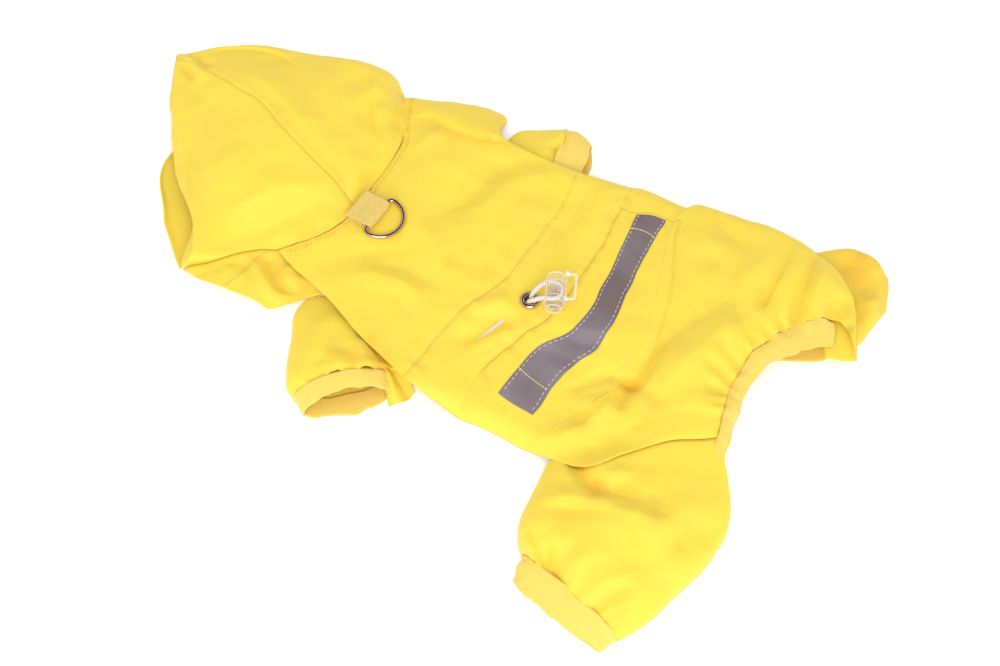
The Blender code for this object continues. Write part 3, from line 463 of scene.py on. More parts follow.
def stray_folds(box, count, seed, tall=(0.15, 0.5), wide=(2.5, 6), long=(14, 42)):
    """Faint straight folds with no order to them, such as stay in cloth that was packed."""
    rng = np.random.default_rng(seed)
    folds = []
    for _ in range(count):
        x, y = rng.uniform(box[0], box[2]), rng.uniform(box[1], box[3])
        lean, length = rng.choice((0.5, 1.1, 2.3)) + rng.normal(0, 0.35), rng.uniform(*long)
        height = rng.uniform(*tall) * rng.choice((-1, 1))
        bend = rng.normal(0, 2.0)
        along = np.array((math.cos(lean), math.sin(lean)))
        across = np.array((-along[1], along[0]))
        middle, parts = np.array((x, y)), (-0.5, -0.2, 0.2, 0.5)
        route = [middle + along * length * t + across * bend * (0.25 - t * t) * 4 for t in parts]
        folds.append(("crisp", height, rng.uniform(*wide), 0, 0, route))
    return tuple(folds)


def relief(folds, x, y):
    """Height that a table of folds adds at each (x, y)."""
    total = np.zeros(x.shape)
    for kind, height, width, start, end, route in folds:
        spots = np.asarray(route, float)
        reach = 4 * width
        near = (x > spots[:, 0].min() - reach) & (x < spots[:, 0].max() + reach)
        near &= (y > spots[:, 1].min() - reach) & (y < spots[:, 1].max() + reach)
        if not near.any():
            continue
        distance, along, side, length = nearest(route, x[near], y[near])
        t = along / length
        strength = start + (1 - start) * smooth(t / FOLD_FADE)
        strength = strength * (end + (1 - end) * smooth((1 - t) / FOLD_FADE))
        if kind == "step":
            shape = np.where(side > 0, np.exp(-((distance / width) ** 2)), 1 - smooth(distance / STEP_WIDTH))
        else:
            crest = SOFT_CREST if kind == "soft" else CRISP_CREST
            slope = 1 - (np.sqrt(distance**2 + crest**2) - crest) / (1.6 * width)
            shape = (slope + np.sqrt(slope**2 + 0.02)) / 2
            shape = FOLD_GAIN * np.clip(shape - 0.03, 0, None)
        total[near] += height * strength * shape * (FOLD_GAIN if kind == "crisp" else 1.0)
    return total


def uneven(x, y, size, seed):
    """A smooth random unevenness between about -1 and 1: crossed waves, each bent by another."""
    rng = np.random.default_rng(seed)
    total = np.zeros(np.shape(x))
    for _ in range(7):
        turn, bend, lean = rng.uniform(0, 2 * math.pi, 3)
        wave = 2 * math.pi / (size * rng.uniform(0.7, 1.6))
        curl = 1.4 * np.sin(0.6 * wave * (x * math.cos(lean) + y * math.sin(lean)) + bend)
        total += np.sin(wave * (x * math.cos(turn) + y * math.sin(turn)) + bend + curl)
    return total / 3.2


def gathers(distance, along, length, height, reach, spacing, seed):
    """Small folds that start at a gathered edge and die out away from it, none like its neighbour."""
    rng = np.random.default_rng(seed)
    total = np.zeros(np.shape(distance))
    at = 0.0
    while at < length + spacing:
        tall, far = rng.uniform(0.35, 1), rng.uniform(0.5, 1.3) * reach
        lean, wide = rng.normal(0, 0.28), rng.uniform(0.22, 0.4)
        spread = wide * spacing * (1 + 0.6 * distance / reach)
        total += tall * np.exp(-(((along - at - lean * distance) / spread) ** 2) - (distance / far) ** 2)
        at += spacing * rng.uniform(0.6, 1.5)
    return height * (total - 0.4 * np.exp(-((distance / reach) ** 2)))


BACK = np.array([row[:7] for row in BACK_ROWS], float)
BACK_BASES = np.array([row[7:] for row in BACK_ROWS], float)
HOOD = np.array([row[:6] for row in HOOD_ROWS], float)
HOOD_BASES = np.array([row[6:] for row in HOOD_ROWS], float)


def seam_route(table, u, v=None):
    """A line along a row or a column of a panel's table, in plan, as a route for folds."""
    if v is None:
        points = surface_at(table, np.full(25, u), np.linspace(0, 1, 25))
    else:
        points = surface_at(table, np.linspace(0, 1, 25), np.full(25, v))
    return (points - COAT_CENTRE)[:, :2]


NECK_LINE = seam_route(BACK, 0)
CASING_LINES = seam_route(BACK, CASING_FRONT / TAIL_SEAM), seam_route(BACK, CASING_REAR / TAIL_SEAM)
TAIL_LINE = seam_route(BACK, 1)
CROWN_LINE = seam_route(HOOD, 0, CROWN)


def sag(points):
    """The points moved a little sideways, so that no edge of the cloth runs quite smoothly."""
    x, y = points[..., 0], points[..., 1]
    moved = points.copy()
    moved[..., 0] += 0.55 * uneven(x, y, 38, 71) + 0.1 * uneven(x, y, 13, 72)
    moved[..., 1] += 0.55 * uneven(x, y, 38, 73) + 0.1 * uneven(x, y, 13, 74)
    return moved


def settled(place, line, reach, drop=0.0):
    """The surface of place, brought to the height of a seam line wherever it comes near it."""
    line = even_line(line, 60)

    def closer(u, v):
        points = place(u, v)
        distance, along, _, length = nearest(line[:, :2], points[..., 0], points[..., 1])
        seam = np.interp(along, np.linspace(0, length, len(line)), line[:, 2]) - drop
        points[..., 2] = seam + (points[..., 2] - seam) * smooth(distance / reach)
        return points

    return closer


def draped(table, bases, u, v, rims, swell):
    """Points of a panel whose two edges come down to their bases, with the folds that swell(x, y) gives."""
    points = surface_at(table, u, v) - COAT_CENTRE
    ends = curve_at(bases, u)
    points[..., 2] += swell(points[..., 0], points[..., 1])
    for edge, height, rim in ((0.0, ends[..., 0], rims[0]), (1.0, ends[..., 1], rims[1])):
        rim_points = surface_at(table, u, np.full(np.shape(u), edge)) - COAT_CENTRE
        distance = np.linalg.norm(points[..., :2] - rim_points[..., :2], axis=-1)
        height = np.maximum(height, FLOOR_EDGE)
        points[..., 2] = height + (points[..., 2] - height) * rise(distance, rim)
    return points


BACK_STRAYS = stray_folds((-110, -60, 60, 175), 90, 101) + stray_folds((-105, -50, 55, 165), 26, 104, *FACETS)
HOOD_STRAYS = stray_folds((-90, -200, 60, -70), 44, 102) + stray_folds((-85, -190, 50, -80), 13, 105, *FACETS)
LEG_STRAYS = stray_folds((45, 110, 130, 205), 30, 103) + stray_folds((50, 115, 125, 200), 9, 106, *FACETS)


def back_swell(x, y):
    """Height of the back's folds, and of the gathers at its neck, casing and tail seams."""
    total = 1.1 * relief(BACK_FOLDS, x, y) + relief(BACK_STRAYS, x, y)
    total += 0.35 * uneven(x, y, 60, 3) + 0.08 * uneven(x, y, 22, 5)
    distance, along, _, length = nearest(NECK_LINE, x, y)
    total += gathers(distance, along, length, 0.7, 12, 9, 11) - 0.4 * np.exp(-((distance / 1.6) ** 2))
    for line, seed in zip(CASING_LINES, (21, 22)):
        distance, along, _, length = nearest(line, x, y)
        total += gathers(distance, along, length, 0.75, 9, 8, seed) - 0.5 * np.exp(-((distance / 1.5) ** 2))
    distance, along, _, length = nearest(TAIL_LINE, x, y)
    total += gathers(distance, along, length, 2.2, 13, 7.5, 31)
    return total


def back(u, v):
    """The back at row u, counted from the neck seam, and v from its right edge to its left edge."""
    points = draped(BACK, BACK_BASES, u / TAIL_SEAM, v, BACK_RIMS, back_swell)
    points[..., 2] -= 1.5 * smooth(-u / 0.07)
    corner = np.exp(-(((u - 2.08) / 0.25) ** 2) - (v / 0.06) ** 2)
    points[..., 0] -= 1.2 * corner
    points[..., 1] += 0.4 * corner
    peak = smooth((u - 7.72) / 0.16) * smooth((9.3 - u) / 1.4) * (1 - smooth(v / 0.3))
    points[..., 0] -= 5.0 * peak
    return points


def hood_swell(x, y):
    """Height of the hood's folds, of the gathers at its neck seam and of its crown seam."""
    total = relief(HOOD_FOLDS, x, y) + relief(HOOD_STRAYS, x, y)
    total += 0.4 * uneven(x, y, 64, 41) + 0.08 * uneven(x, y, 24, 43)
    distance, along, _, length = nearest(NECK_LINE, x, y)
    total += gathers(distance, along, length, 1.0, 16, 10, 47) - 0.4 * np.exp(-((distance / 1.6) ** 2))
    distance, _, _, _ = nearest(CROWN_LINE, x, y)
    total += 0.25 * np.exp(-(((distance - 2.2) / 1.8) ** 2)) - 0.1 * np.exp(-((distance / 1.2) ** 2))
    return total


def hood(u, v):
    """The hood from its face opening to the neck seam, with its near corner turned in."""
    points = draped(HOOD, HOOD_BASES, u, v, HOOD_RIMS, hood_swell)
    turned_in = np.exp(-(((v - 0.9) / 0.07) ** 2) - (np.maximum(u, 0) / 0.16) ** 2)
    points[..., 0] -= 4.5 * turned_in
    points[..., 1] += 6.5 * turned_in
    return points


def lifted(place, low, high=None, box=None):
    """The surface of place raised by low, or, inside a box of (u, v), by low at its edges and high in its middle."""

    def higher(u, v):
        points = place(u, v)
        if box is None:
            points[..., 2] += low
        else:
            inside = np.minimum(np.minimum(u - box[0], box[1] - u) * 22, np.minimum(v - box[2], box[3] - v) * 170)
            points[..., 2] += low + (high - low) * smooth(inside / 5)
        return points

    return higher


def plain(rows, swell=None):
    """The surface through a table, with the folds that swell(x, y) gives, as place(u, v)."""
    table = np.array(rows, float)

    def place(u, v):
        points = surface_at(table, u, v) - COAT_CENTRE
        if swell is not None:
            points[..., 2] += swell(points[..., 0], points[..., 1])
        return points

    return place


def rippled(place, seed):
    """The surface of place with the small ripples that an elastic band's edges have."""

    def wavy(u, v):
        points = place(u, v)
        x, y = points[..., 0].copy(), points[..., 1].copy()
        points[..., 0] += 0.5 * uneven(x, y, 11, seed)
        points[..., 1] += 0.5 * uneven(x, y, 11, seed + 1)
        return points

    return wavy


def tube_place(rings, folds=(), pleats=0.0, seed=0, under_line=None):
    """A flattened tube: u runs along it, and v goes over the top layer and back under the lower one."""
    table = np.array(rings, float)
    run = np.linalg.norm(np.diff((table[:, 0:2] + table[:, 2:4]) / 2, axis=0), axis=1).sum()
    line = None if under_line is None else even_line(under_line, 60)

    def place(u, v):
        row = curve_at(table, u)
        a = row[..., 0:2] - COAT_CENTRE[:2]
        b = row[..., 2:4] - COAT_CENTRE[:2]
        ahead = curve_at(table, np.clip(u + 0.05, 0, 1))[..., :2]
        ahead = ahead - curve_at(table, np.clip(u - 0.05, 0, 1))[..., :2]
        angle = 2 * math.pi * v
        side, over = np.cos(angle), np.sin(angle) >= 0
        half = (a - b) / 2
        onward = np.stack((-half[..., 1], half[..., 0]), -1)
        onward /= np.linalg.norm(onward, axis=-1, keepdims=True)
        onward *= np.where((onward * ahead).sum(-1) < 0, -1, 1)[..., None]
        reach = np.where(over, row[..., 6], row[..., 5]) * (1 - side**2)
        flat = (a + b) / 2 + half * side[..., None] + onward * reach[..., None]
        up = np.abs(np.sin(angle)) ** DOME_POWER
        full = smooth(np.abs(np.sin(angle)) / 0.5)
        x, y = flat[..., 0], flat[..., 1]
        swell = relief(folds, x, y) + 0.3 * uneven(x, y, 36, seed) + 0.08 * uneven(x, y, 16, seed + 1)
        if pleats:
            girth = 2 * np.linalg.norm(half, axis=-1).max()
            swell += gathers((1 - u) * run, (1 - side) / 2 * girth, girth, pleats, 11, 7, seed + 40)
        height = np.where(over, row[..., 4] * up + swell * full * np.minimum(row[..., 4] / 10, 1), 0.0)
        if line is not None:
            distance, along, way, length = nearest(line[:, :2], x, y)
            edge = np.interp(along, np.linspace(0, length, len(line)), line[:, 2])
            edge += 0.5 * relief(folds, x, y) - 1.6 - np.where(way < 0, 0.12, 0.5) * distance
            full = smooth(np.abs(np.sin(angle)) / 0.25)
            raised = (height + edge + np.sqrt((height - edge) ** 2 + 6)) / 2
            height = np.where(over & (height > 0), height + (np.maximum(raised, height) - height) * full, height)
        return np.concatenate((flat, np.maximum(height, 0)[..., None]), -1)

    return place


class Shade:
    """One output of a material's nodes. Arithmetic on it adds Math nodes."""

    def __init__(self, finish, socket):
        self.finish, self.socket = finish, socket

    def math(self, operation, first, second):
        return self.finish.node("ShaderNodeMath", {"operation": operation}, {0: first, 1: second})

    def __add__(self, other):
        return self.math("ADD", self, other)

    __radd__ = __add__

    def __sub__(self, other):
        return self.math("SUBTRACT", self, other)

    def __rsub__(self, other):
        return self.math("SUBTRACT", other, self)

    def __mul__(self, other):
        return self.math("MULTIPLY", self, other)

    __rmul__ = __mul__

    def __truediv__(self, other):
        return self.math("DIVIDE", self, other)

    def __pow__(self, other):
        return self.math("POWER", self, other)

    def wave(self, period):
        """A smooth wave of this value, from -1 to 1."""
        return self.math("SINE", self * (2 * math.pi / period), 0.0)


class Finish:
    """A material on a Principled shader."""

    def __init__(self, name, **shader_values):
        self.material = bpy.data.materials.new(name)
        self.material.use_nodes = True
        self.tree = self.material.node_tree
        self.shader = self.tree.nodes["Principled BSDF"]
        for label, value in shader_values.items():
            self.shader.inputs[label.replace("_", " ")].default_value = value

    def node(self, kind, settings=None, links=None, output=0):
        made = self.tree.nodes.new(kind)
        for label, value in (settings or {}).items():
            if label == "stops":
                ramp = made.color_ramp.elements
                while len(ramp) < len(value):
                    ramp.new(0.5)
                for stop, (place, colour) in zip(ramp, value):
                    stop.position, stop.color = place, (*colour, 1)
            else:
                setattr(made, label, value)
        for label, value in (links or {}).items():
            self.link(value, made.inputs[label])
        return Shade(self, made.outputs[output])

    def link(self, value, socket):
        if isinstance(value, Shade):
            self.tree.links.new(value.socket, socket)
        else:
            socket.default_value = value

    def set(self, **links):
        for label, value in links.items():
            self.link(value, self.shader.inputs[label.replace("_", " ")])

    def place(self):
        return self.node("ShaderNodeTexCoord", output="Object")

    def noise(self, scale, detail=2.0, where=None, roughness=0.5):
        links = {"Vector": where or self.place(), "Scale": scale, "Detail": detail, "Roughness": roughness}
        return self.node("ShaderNodeTexNoise", None, links)

    def mix(self, factor, first, second):
        """Two colours, blended by factor."""
        links = {0: factor, 6: first, 7: second}
        return self.node("ShaderNodeMix", {"data_type": "RGBA"}, links, output=2)

    def weave_place(self):
        """The cloth's own (across, along) in metres."""
        where = self.node("ShaderNodeUVMap", {"uv_map": "weave"})
        across = self.node("ShaderNodeSeparateXYZ", None, {0: where}, output=0)
        along = Shade(self, across.socket.node.outputs[1])
        return across, along

    def bump(self, height, strength, distance):
        links = {"Height": height, "Strength": strength, "Distance": distance}
        self.set(Normal=self.node("ShaderNodeBump", None, links))


def rgb(red, green, blue):
    return (red, green, blue, 1.0)


def coated_cloth(name, colour, deep):
    """Thin coated plain weave: soft shine, faint crinkles, very fine thread, and deep orange painted shade in creases.
    """
    finish = Finish(name, IOR=1.45, Sheen_Weight=0.12, Sheen_Roughness=0.4, Specular_IOR_Level=0.35)
    across, along = finish.weave_place()
    patch = finish.noise(22, 3)
    crinkle = finish.noise(110, 6, roughness=0.62)
    crush = finish.noise(34, 4, roughness=0.5)
    fine = finish.noise(900, 2)
    thread = across.wave(0.0006) * along.wave(0.0006)
    # how much painted shade each point carries, as cloth_piece sets it
    hollow = finish.node("ShaderNodeAttribute", {"attribute_name": "hollow"}, output=2)
    plain = finish.mix(patch * 0.5 + fine * 0.25, rgb(*colour), rgb(*deep))
    finish.set(
        # painted shade: the colour turns deep orange where the cloth is creased, pleated or shaded
        Base_Color=finish.mix(hollow * 0.5, plain, rgb(0.88, 0.51, 0.045)),
        Roughness=0.42 + crinkle * 0.2,
    )
    crease = finish.node("ShaderNodeMath", {"operation": "ABSOLUTE"}, {0: crush - 0.5})
    finish.bump(crease * -1.1 + crinkle * 0.35 + fine * 0.05 + thread * 0.05, 0.5, 0.0009)
    return finish.material


def elastic_cloth(name, colour, deep):
    """Matte gathered band with ribs along its length and tiny puckers across it."""
    finish = Finish(name, Specular_IOR_Level=0.2, Sheen_Weight=0.25, Sheen_Roughness=0.5)
    across, along = finish.weave_place()
    grain = finish.noise(420, 4)
    rib = along.wave(0.0008)
    knit = across.wave(0.0007)
    finish.set(
        Base_Color=finish.mix(grain * 0.9 + rib * 0.05, rgb(*colour), rgb(*deep)),
        Roughness=0.72 + grain * 0.15,
    )
    finish.bump(rib * 0.12 + knit * rib * 0.15 + grain * 0.8, 0.4, 0.0003)
    return finish.material


def webbing_cloth(name, colour, deep):
    """Twill webbing: ribs that slant one way and then the other."""
    finish = Finish(name, Specular_IOR_Level=0.2, Sheen_Weight=0.3, Sheen_Roughness=0.5)
    across, along = finish.weave_place()
    zig = finish.node("ShaderNodeMath", {"operation": "PINGPONG"}, {0: across, 1: 0.0033})
    rib = (zig + along).wave(0.0013)
    grain = finish.noise(700, 3)
    finish.set(
        Base_Color=finish.mix(grain * 0.5 + rib * 0.25 + 0.2, rgb(*colour), rgb(*deep)),
        Roughness=0.75 + grain * 0.1,
    )
    finish.bump(rib + grain * 0.4, 0.6, 0.0003)
    return finish.material


def reflective_tape(name):
    """Grey tape with fine glass beads, warmer and darker in patches and toward its right end: painted shade of its
    folds.
    """
    finish = Finish(name, Specular_IOR_Level=0.3)
    patch = finish.noise(30, 3)
    bead = finish.noise(2600, 1)
    across, _ = finish.weave_place()
    # painted shade: darker and browner in patches and toward the tape's right end
    warm = finish.node("ShaderNodeMapRange", None, {0: patch - across * 1.6, 1: 0.22, 2: 0.56})
    grey = finish.mix(warm, rgb(0.225, 0.19, 0.215), rgb(0.145, 0.095, 0.088))
    finish.set(
        Base_Color=finish.mix(bead * 0.5, grey, rgb(0.30, 0.255, 0.275)),
        Roughness=0.5 + bead * 0.2,
    )
    finish.bump(bead, 0.25, 0.0002)
    return finish.material


def nickel(name):
    finish = Finish(name, Metallic=1.0)
    wear = finish.noise(260, 3)
    scratch = finish.noise(1500, 2)
    finish.set(
        # the gold-brown of these colours is a painted reflection of the yellow cloth and dark surroundings; nickel is
        # silvery
        Base_Color=finish.mix(wear, rgb(0.76, 0.64, 0.50), rgb(0.50, 0.37, 0.25)),
        Roughness=0.08 + wear * 0.1,
    )
    finish.bump(scratch, 0.05, 0.0001)
    return finish.material


def cord_braid(name):
    """White braid: fine strands that slant round the cord, with shade between them."""
    finish = Finish(name, Specular_IOR_Level=0.2, Sheen_Weight=0.4, Sheen_Roughness=0.5)
    across, along = finish.weave_place()
    strands = (along + across * 0.35).wave(0.0014)
    cross = (along - across * 0.5).wave(0.0025)
    grain = finish.noise(1800, 2)
    shade = strands * 0.55 + cross * 0.06 + grain * 0.2 + 0.55
    finish.set(
        Base_Color=finish.mix(shade, rgb(0.44, 0.28, 0.22), rgb(0.99, 0.95, 0.93)),
        Roughness=0.75 + grain * 0.1,
    )
    finish.bump(strands + cross * 0.4, 0.35, 0.0002)
    return finish.material


def thread(name, colour, deep):
    finish = Finish(name, Specular_IOR_Level=0.3, Sheen_Weight=0.3)
    twist = finish.noise(3000, 2)
    finish.set(Base_Color=finish.mix(twist, rgb(*colour), rgb(*deep)), Roughness=0.55 + twist * 0.2)
    return finish.material


def clear_plastic(name, body_alpha):
    """Clear moulding with a little pinkish white haze; with a high body_alpha it gives the painted highlights on ribs,
    edges and knobs.
    """
    finish = Finish(name, IOR=1.5, Specular_IOR_Level=1.0, Coat_Weight=0.0)
    haze = finish.noise(600, 3)
    finish.set(
        Base_Color=finish.mix(haze * 0.6, rgb(1.0, 0.95, 0.92), rgb(0.98, 0.84, 0.76)),
        Roughness=0.06 + haze * 0.1,
        Alpha=body_alpha + haze * 0.08,
    )
    finish.bump(haze, 0.1, 0.0002)
    return finish.material


def floor_finish(name):
    finish = Finish(name, Specular_IOR_Level=0.1, Emission_Strength=0.2)
    finish.shader.inputs["Emission Color"].default_value = rgb(1, 1, 1)
    mottle = finish.noise(3, 2)
    finish.set(
        Base_Color=finish.mix(mottle, rgb(0.96, 0.96, 0.96), rgb(0.94, 0.94, 0.94)),
        Roughness=0.9 + mottle * 0.05,
    )
    return finish.material


# Painted shade, deep orange, where folded cloth lies double, in pleats and under overlaps: x, y, reach and depth.
PAINTED_SHADE_PLACES = (
    (67, 3, 6, 1.4),
    (60, -7, 5, 1.0),
    (74, -2, 4, 0.7),
    (-131, 186, 11, 0.8),
    (-122, 200, 9, 0.5),
    (64, 128, 7, 0.35),
    (69, 141, 6, 0.35),
    (50, -62, 7, 0.35),
    (57, -70, 5, 0.35),
    (-88, -40, 10, 0.2),
    (-104, -30, 8, 0.25),
    (13, 124, 6, 0.3),
)


def put(name, mesh, finish, body):
    """The mesh as a finished object, riding its body."""
    obj = bpy.data.objects.new(name, mesh)
    mesh.materials.append(finish)
    bpy.context.scene.collection.objects.link(obj)
    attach(obj, body)
    return obj


def hollows(height, reach, least, full):
    """How far each point of a grid lies below the cloth round it, from 0 to 1."""
    wide = np.pad(height, reach, mode="edge")
    shifts = range(0, 2 * reach + 1, max(reach // 2, 1))
    rows, columns = height.shape
    mean = sum(wide[a : a + rows, b : b + columns] for a in shifts for b in shifts) / len(shifts) ** 2
    return np.clip((mean - height - least) / full, 0, 1)


def cloth_piece(
    name, place, us, vs, finish, wall=WALL, closed=False, body=COAT, soft=True, sags=True, hole=None, shade=0.0
):
    """A thin shell: a grid moved onto place(u, v), its weave laid out in metres, with its wall on the inner side.

    A closed piece is joined where its edges meet. One that isn't soft has no wall, and one that sags isn't quite even.
    """
    us, vs = np.asarray(us, float), np.asarray(vs, float)
    bm = bmesh.new()
    bm.loops.layers.uv.new("weave")
    bmesh.ops.create_grid(bm, x_segments=len(us) - 1, y_segments=len(vs) - 1, size=1.0, calc_uvs=True)
    mesh = bpy.data.meshes.new(name)
    bm.to_mesh(mesh)
    bm.free()
    flat = np.empty(len(mesh.vertices) * 3)
    mesh.vertices.foreach_get("co", flat)
    flat = flat.reshape(-1, 3)
    i = np.rint((flat[:, 0] + 1) / 2 * (len(us) - 1)).astype(int)
    j = np.rint((flat[:, 1] + 1) / 2 * (len(vs) - 1)).astype(int)
    points = place(us[i], vs[j])
    if soft and sags:
        points = sag(points)
    points[:, 2] = np.maximum(points[:, 2], 0.0 if closed else wall)
    grid = np.zeros((len(us), len(vs), 3))
    grid[i, j] = points
    across = np.cumsum(np.linalg.norm(np.diff(grid, axis=1, prepend=grid[:, :1]), axis=2), axis=1)
    along = np.cumsum(np.linalg.norm(np.diff(grid, axis=0, prepend=grid[:1]), axis=2), axis=0)
    height = grid[..., 2]
    # Painted shade: the piece's shade all over, more at the listed places and in its creases, kept per point for the
    # colour.
    deep = shade + sum(
        depth * np.exp(-((points[:, 0] - x) ** 2 + (points[:, 1] - y) ** 2) / reach**2)
        for x, y, reach, depth in PAINTED_SHADE_PLACES
    )
    creases = 0.45 * hollows(height, 4, 0.10, 1.2) + 0.22 * hollows(height, 2, 0.05, 0.45)
    corner = np.empty(len(mesh.loops), int)
    mesh.loops.foreach_get("vertex_index", corner)
    weave = np.stack((across[i, j][corner], along[i, j][corner]), 1) * MM
    mesh.uv_layers["weave"].data.foreach_set("uv", weave.ravel())
    mesh.vertices.foreach_set("co", (points * MM).ravel())
    hollow = mesh.attributes.new("hollow", "FLOAT", "POINT")
    hollow.data.foreach_set("value", np.minimum(creases[i, j] + deep, 2))
    bm = bmesh.new()
    bm.from_mesh(mesh)
    if closed:
        bmesh.ops.remove_doubles(bm, verts=bm.verts, dist=3e-6)
        bmesh.ops.recalc_face_normals(bm, faces=bm.faces)
        top = max(bm.faces, key=lambda face: face.calc_center_median().z)
        if top.normal.z < 0:
            bmesh.ops.reverse_faces(bm, faces=bm.faces)
    else:
        bm.normal_update()
        if hole is not None:
            middle, radius = Vector(hole[0]).xy * MM, hole[1] * MM
            inside = [face for face in bm.faces if (face.calc_center_median().xy - middle).length < radius]
            bmesh.ops.delete(bm, geom=inside, context="FACES")
        if sum(face.normal.z * face.calc_area() for face in bm.faces) < 0:
            bmesh.ops.reverse_faces(bm, faces=bm.faces)
    for face in bm.faces:
        face.smooth = True
    bm.to_mesh(mesh)
    bm.free()
    obj = put(name, mesh, finish, body)
    if not soft:
        return obj
    shell = obj.modifiers.new("Wall", "SOLIDIFY")
    shell.thickness = wall * MM
    shell.offset = -1.0
    return obj


def even(first, last, length, step=1.3):
    """Places from first to last, about step mm apart over a length in mm."""
    return np.linspace(first, last, max(3, round(length / step)) + 1)


def make_camera():
    """At 123 degrees round from the front toward the left side, and 58 degrees up."""
    data = bpy.data.cameras.new("camera")
    data.lens, data.sensor_width = 75, 36
    camera = bpy.data.objects.new("camera", data)
    bpy.context.scene.collection.objects.link(camera)
    turn, climb = math.radians(123), math.radians(58)
    back_way = Vector((math.sin(turn) * math.cos(climb), -math.cos(turn) * math.cos(climb), math.sin(climb)))
    right_way = Vector((math.cos(turn), math.sin(turn), 0))
    aim = Vector((0.01105, 0.04395, 0))
    rows = Matrix((right_way, back_way.cross(right_way), back_way)).transposed()
    camera.matrix_world = Matrix.Translation(aim + back_way * 1.134) @ rows.to_4x4()
    bpy.context.scene.camera = camera


def sky_strength(tree):
    """Even white light, but shiny parts see dark and bright bands, as from a studio's walls and lamps."""
    path = tree.nodes.new("ShaderNodeLightPath")
    where = tree.nodes.new("ShaderNodeTexCoord")
    split = tree.nodes.new("ShaderNodeSeparateXYZ")
    bands = tree.nodes.new("ShaderNodeValToRGB")
    mix = tree.nodes.new("ShaderNodeMix")
    mix.data_type = "RGBA"
    ramp = bands.color_ramp.elements
    stops = ((0.0, 0.9), (0.18, 0.9), (0.24, 0.06), (0.42, 0.05), (0.47, 1.5), (0.62, 1.6), (0.68, 0.08), (1.0, 0.12))
    while len(ramp) < len(stops):
        ramp.new(0.5)
    for stop, (place, level) in zip(ramp, stops):
        warm = 1.0 if level > 0.5 else 0.5  # dark bands are brown
        stop.position, stop.color = place, (level, level * warm, level * warm**2, 1)
    mix.inputs[6].default_value = (WORLD_LEVEL, WORLD_LEVEL, WORLD_LEVEL, 1)
    tree.links.new(where.outputs["Generated"], split.inputs[0])
    tree.links.new(split.outputs["Z"], bands.inputs[0])
    tree.links.new(path.outputs["Is Glossy Ray"], mix.inputs[0])
    tree.links.new(bands.outputs[0], mix.inputs[7])
    tree.links.new(mix.outputs[2], tree.nodes["Background"].inputs["Color"])


def make_stage():
    mesh = bpy.data.meshes.new("floor")
    bm = bmesh.new()
    bmesh.ops.create_grid(bm, x_segments=1, y_segments=1, size=4.0)
    bm.to_mesh(mesh)
    bm.free()
    floor = bpy.data.objects.new("floor", mesh)
    mesh.materials.append(floor_finish("pale_floor"))
    bpy.context.scene.collection.objects.link(floor)
    lamp = bpy.data.lights.new("key_light", "AREA")
    lamp.energy, lamp.size = 23.0, 1.5
    light = bpy.data.objects.new("key_light", lamp)
    bpy.context.scene.collection.objects.link(light)
    light.location = 1.32, 0.86, 1.20
    light.rotation_euler = Vector(light.location).to_track_quat("Z", "Y").to_euler()
    world = bpy.data.worlds.new("studio")
    bpy.context.scene.world = world
    world.use_nodes = True
    world.node_tree.nodes["Background"].inputs["Strength"].default_value = 1.0
    sky_strength(world.node_tree)
    bpy.context.scene.view_settings.view_transform = "Standard"


make_camera()
make_stage()
YELLOW = coated_cloth("yellow_cloth", (0.935, 0.71, 0.071), (0.935, 0.675, 0.063))
BAND = elastic_cloth("yellow_elastic", (0.92, 0.67, 0.135), (0.88, 0.61, 0.11))
WEBBING = webbing_cloth("yellow_webbing", (0.92, 0.69, 0.20), (0.83, 0.55, 0.12))
TAPE = reflective_tape("reflective_tape")
NICKEL = nickel("nickel_wire")
BRAID = cord_braid("white_cord")
CLEAR = clear_plastic("clear_plastic", 0.045)
# whitish plastic on the lock's ribs, outline strips and loop: painted highlights of its edges
CLEAR_EDGE_HIGHLIGHT = clear_plastic("clear_plastic_edge_highlights", 0.38)
# nearly opaque white for the two knobs: painted highlight
KNOB_HIGHLIGHT = clear_plastic("clear_plastic_knob_highlights", 0.88)
WHITE_THREAD = thread("white_thread", (0.80, 0.78, 0.76), (0.60, 0.56, 0.54))
YELLOW_THREAD = thread("yellow_thread", (0.92, 0.76, 0.26), (0.80, 0.58, 0.12))
SEAM_THREAD = thread("seam_thread", (0.86, 0.50, 0.10), (0.80, 0.42, 0.06))
PALE_THREAD = thread("pale_thread", (0.90, 0.82, 0.30), (0.78, 0.66, 0.20))

# The draw cord's route, the same as its solid's: in the casing, up through the eyelet, round in the lock and back.
CORD_DIAMETER = 2.6
CORD_ROUTE = (
    (-87, 48, 8.5),
    (-71, 50, 9),
    (-53, 51.5, 9.5),
    (-34, 52, 9.8),
    (-20, 50.8, 9.2),
    (-14.4, 51.3, 10),
    (-12.6, 52.2, 12),
    (-12.5, 52.4, 14),
    (-12.6, 52.5, 16),
    (-14, 52.8, 18.5),
    (-18.5, 54.5, 21.3),
    (-22, 57.3, 22.3),
    (-23.6, 60.5, 22.3),
    (-23.2, 64, 22.3),
    (-20.8, 66.3, 22.3),
    (-17.3, 66.9, 22.3),
    (-14.3, 65, 22.3),
    (-12.8, 62, 22.3),
    (-11.3, 58.8, 21.5),
    (-9.8, 55.6, 18.8),
    (-9.4, 53, 16),
    (-9.4, 52.6, 14),
    (-9.3, 52.3, 12),
    (-7.6, 51.2, 10),
    (-3, 48.5, 9.2),
    (9, 44.5, 9.2),
    (24, 41, 8.6),
    (39.5, 38.5, 7.5),
)
LOCK_MIDDLE = np.array((-18.0, 64.0, 22.3)) - COAT_CENTRE
LOCK_TURN = math.radians(27.0)
EYELET_MIDDLE = np.array((-11.0, 52.5, 14.48)) - COAT_CENTRE
RING_MIDDLE = np.array((-6.75, -48.55, 18.79))
RING_TILT = math.radians(-5.0)


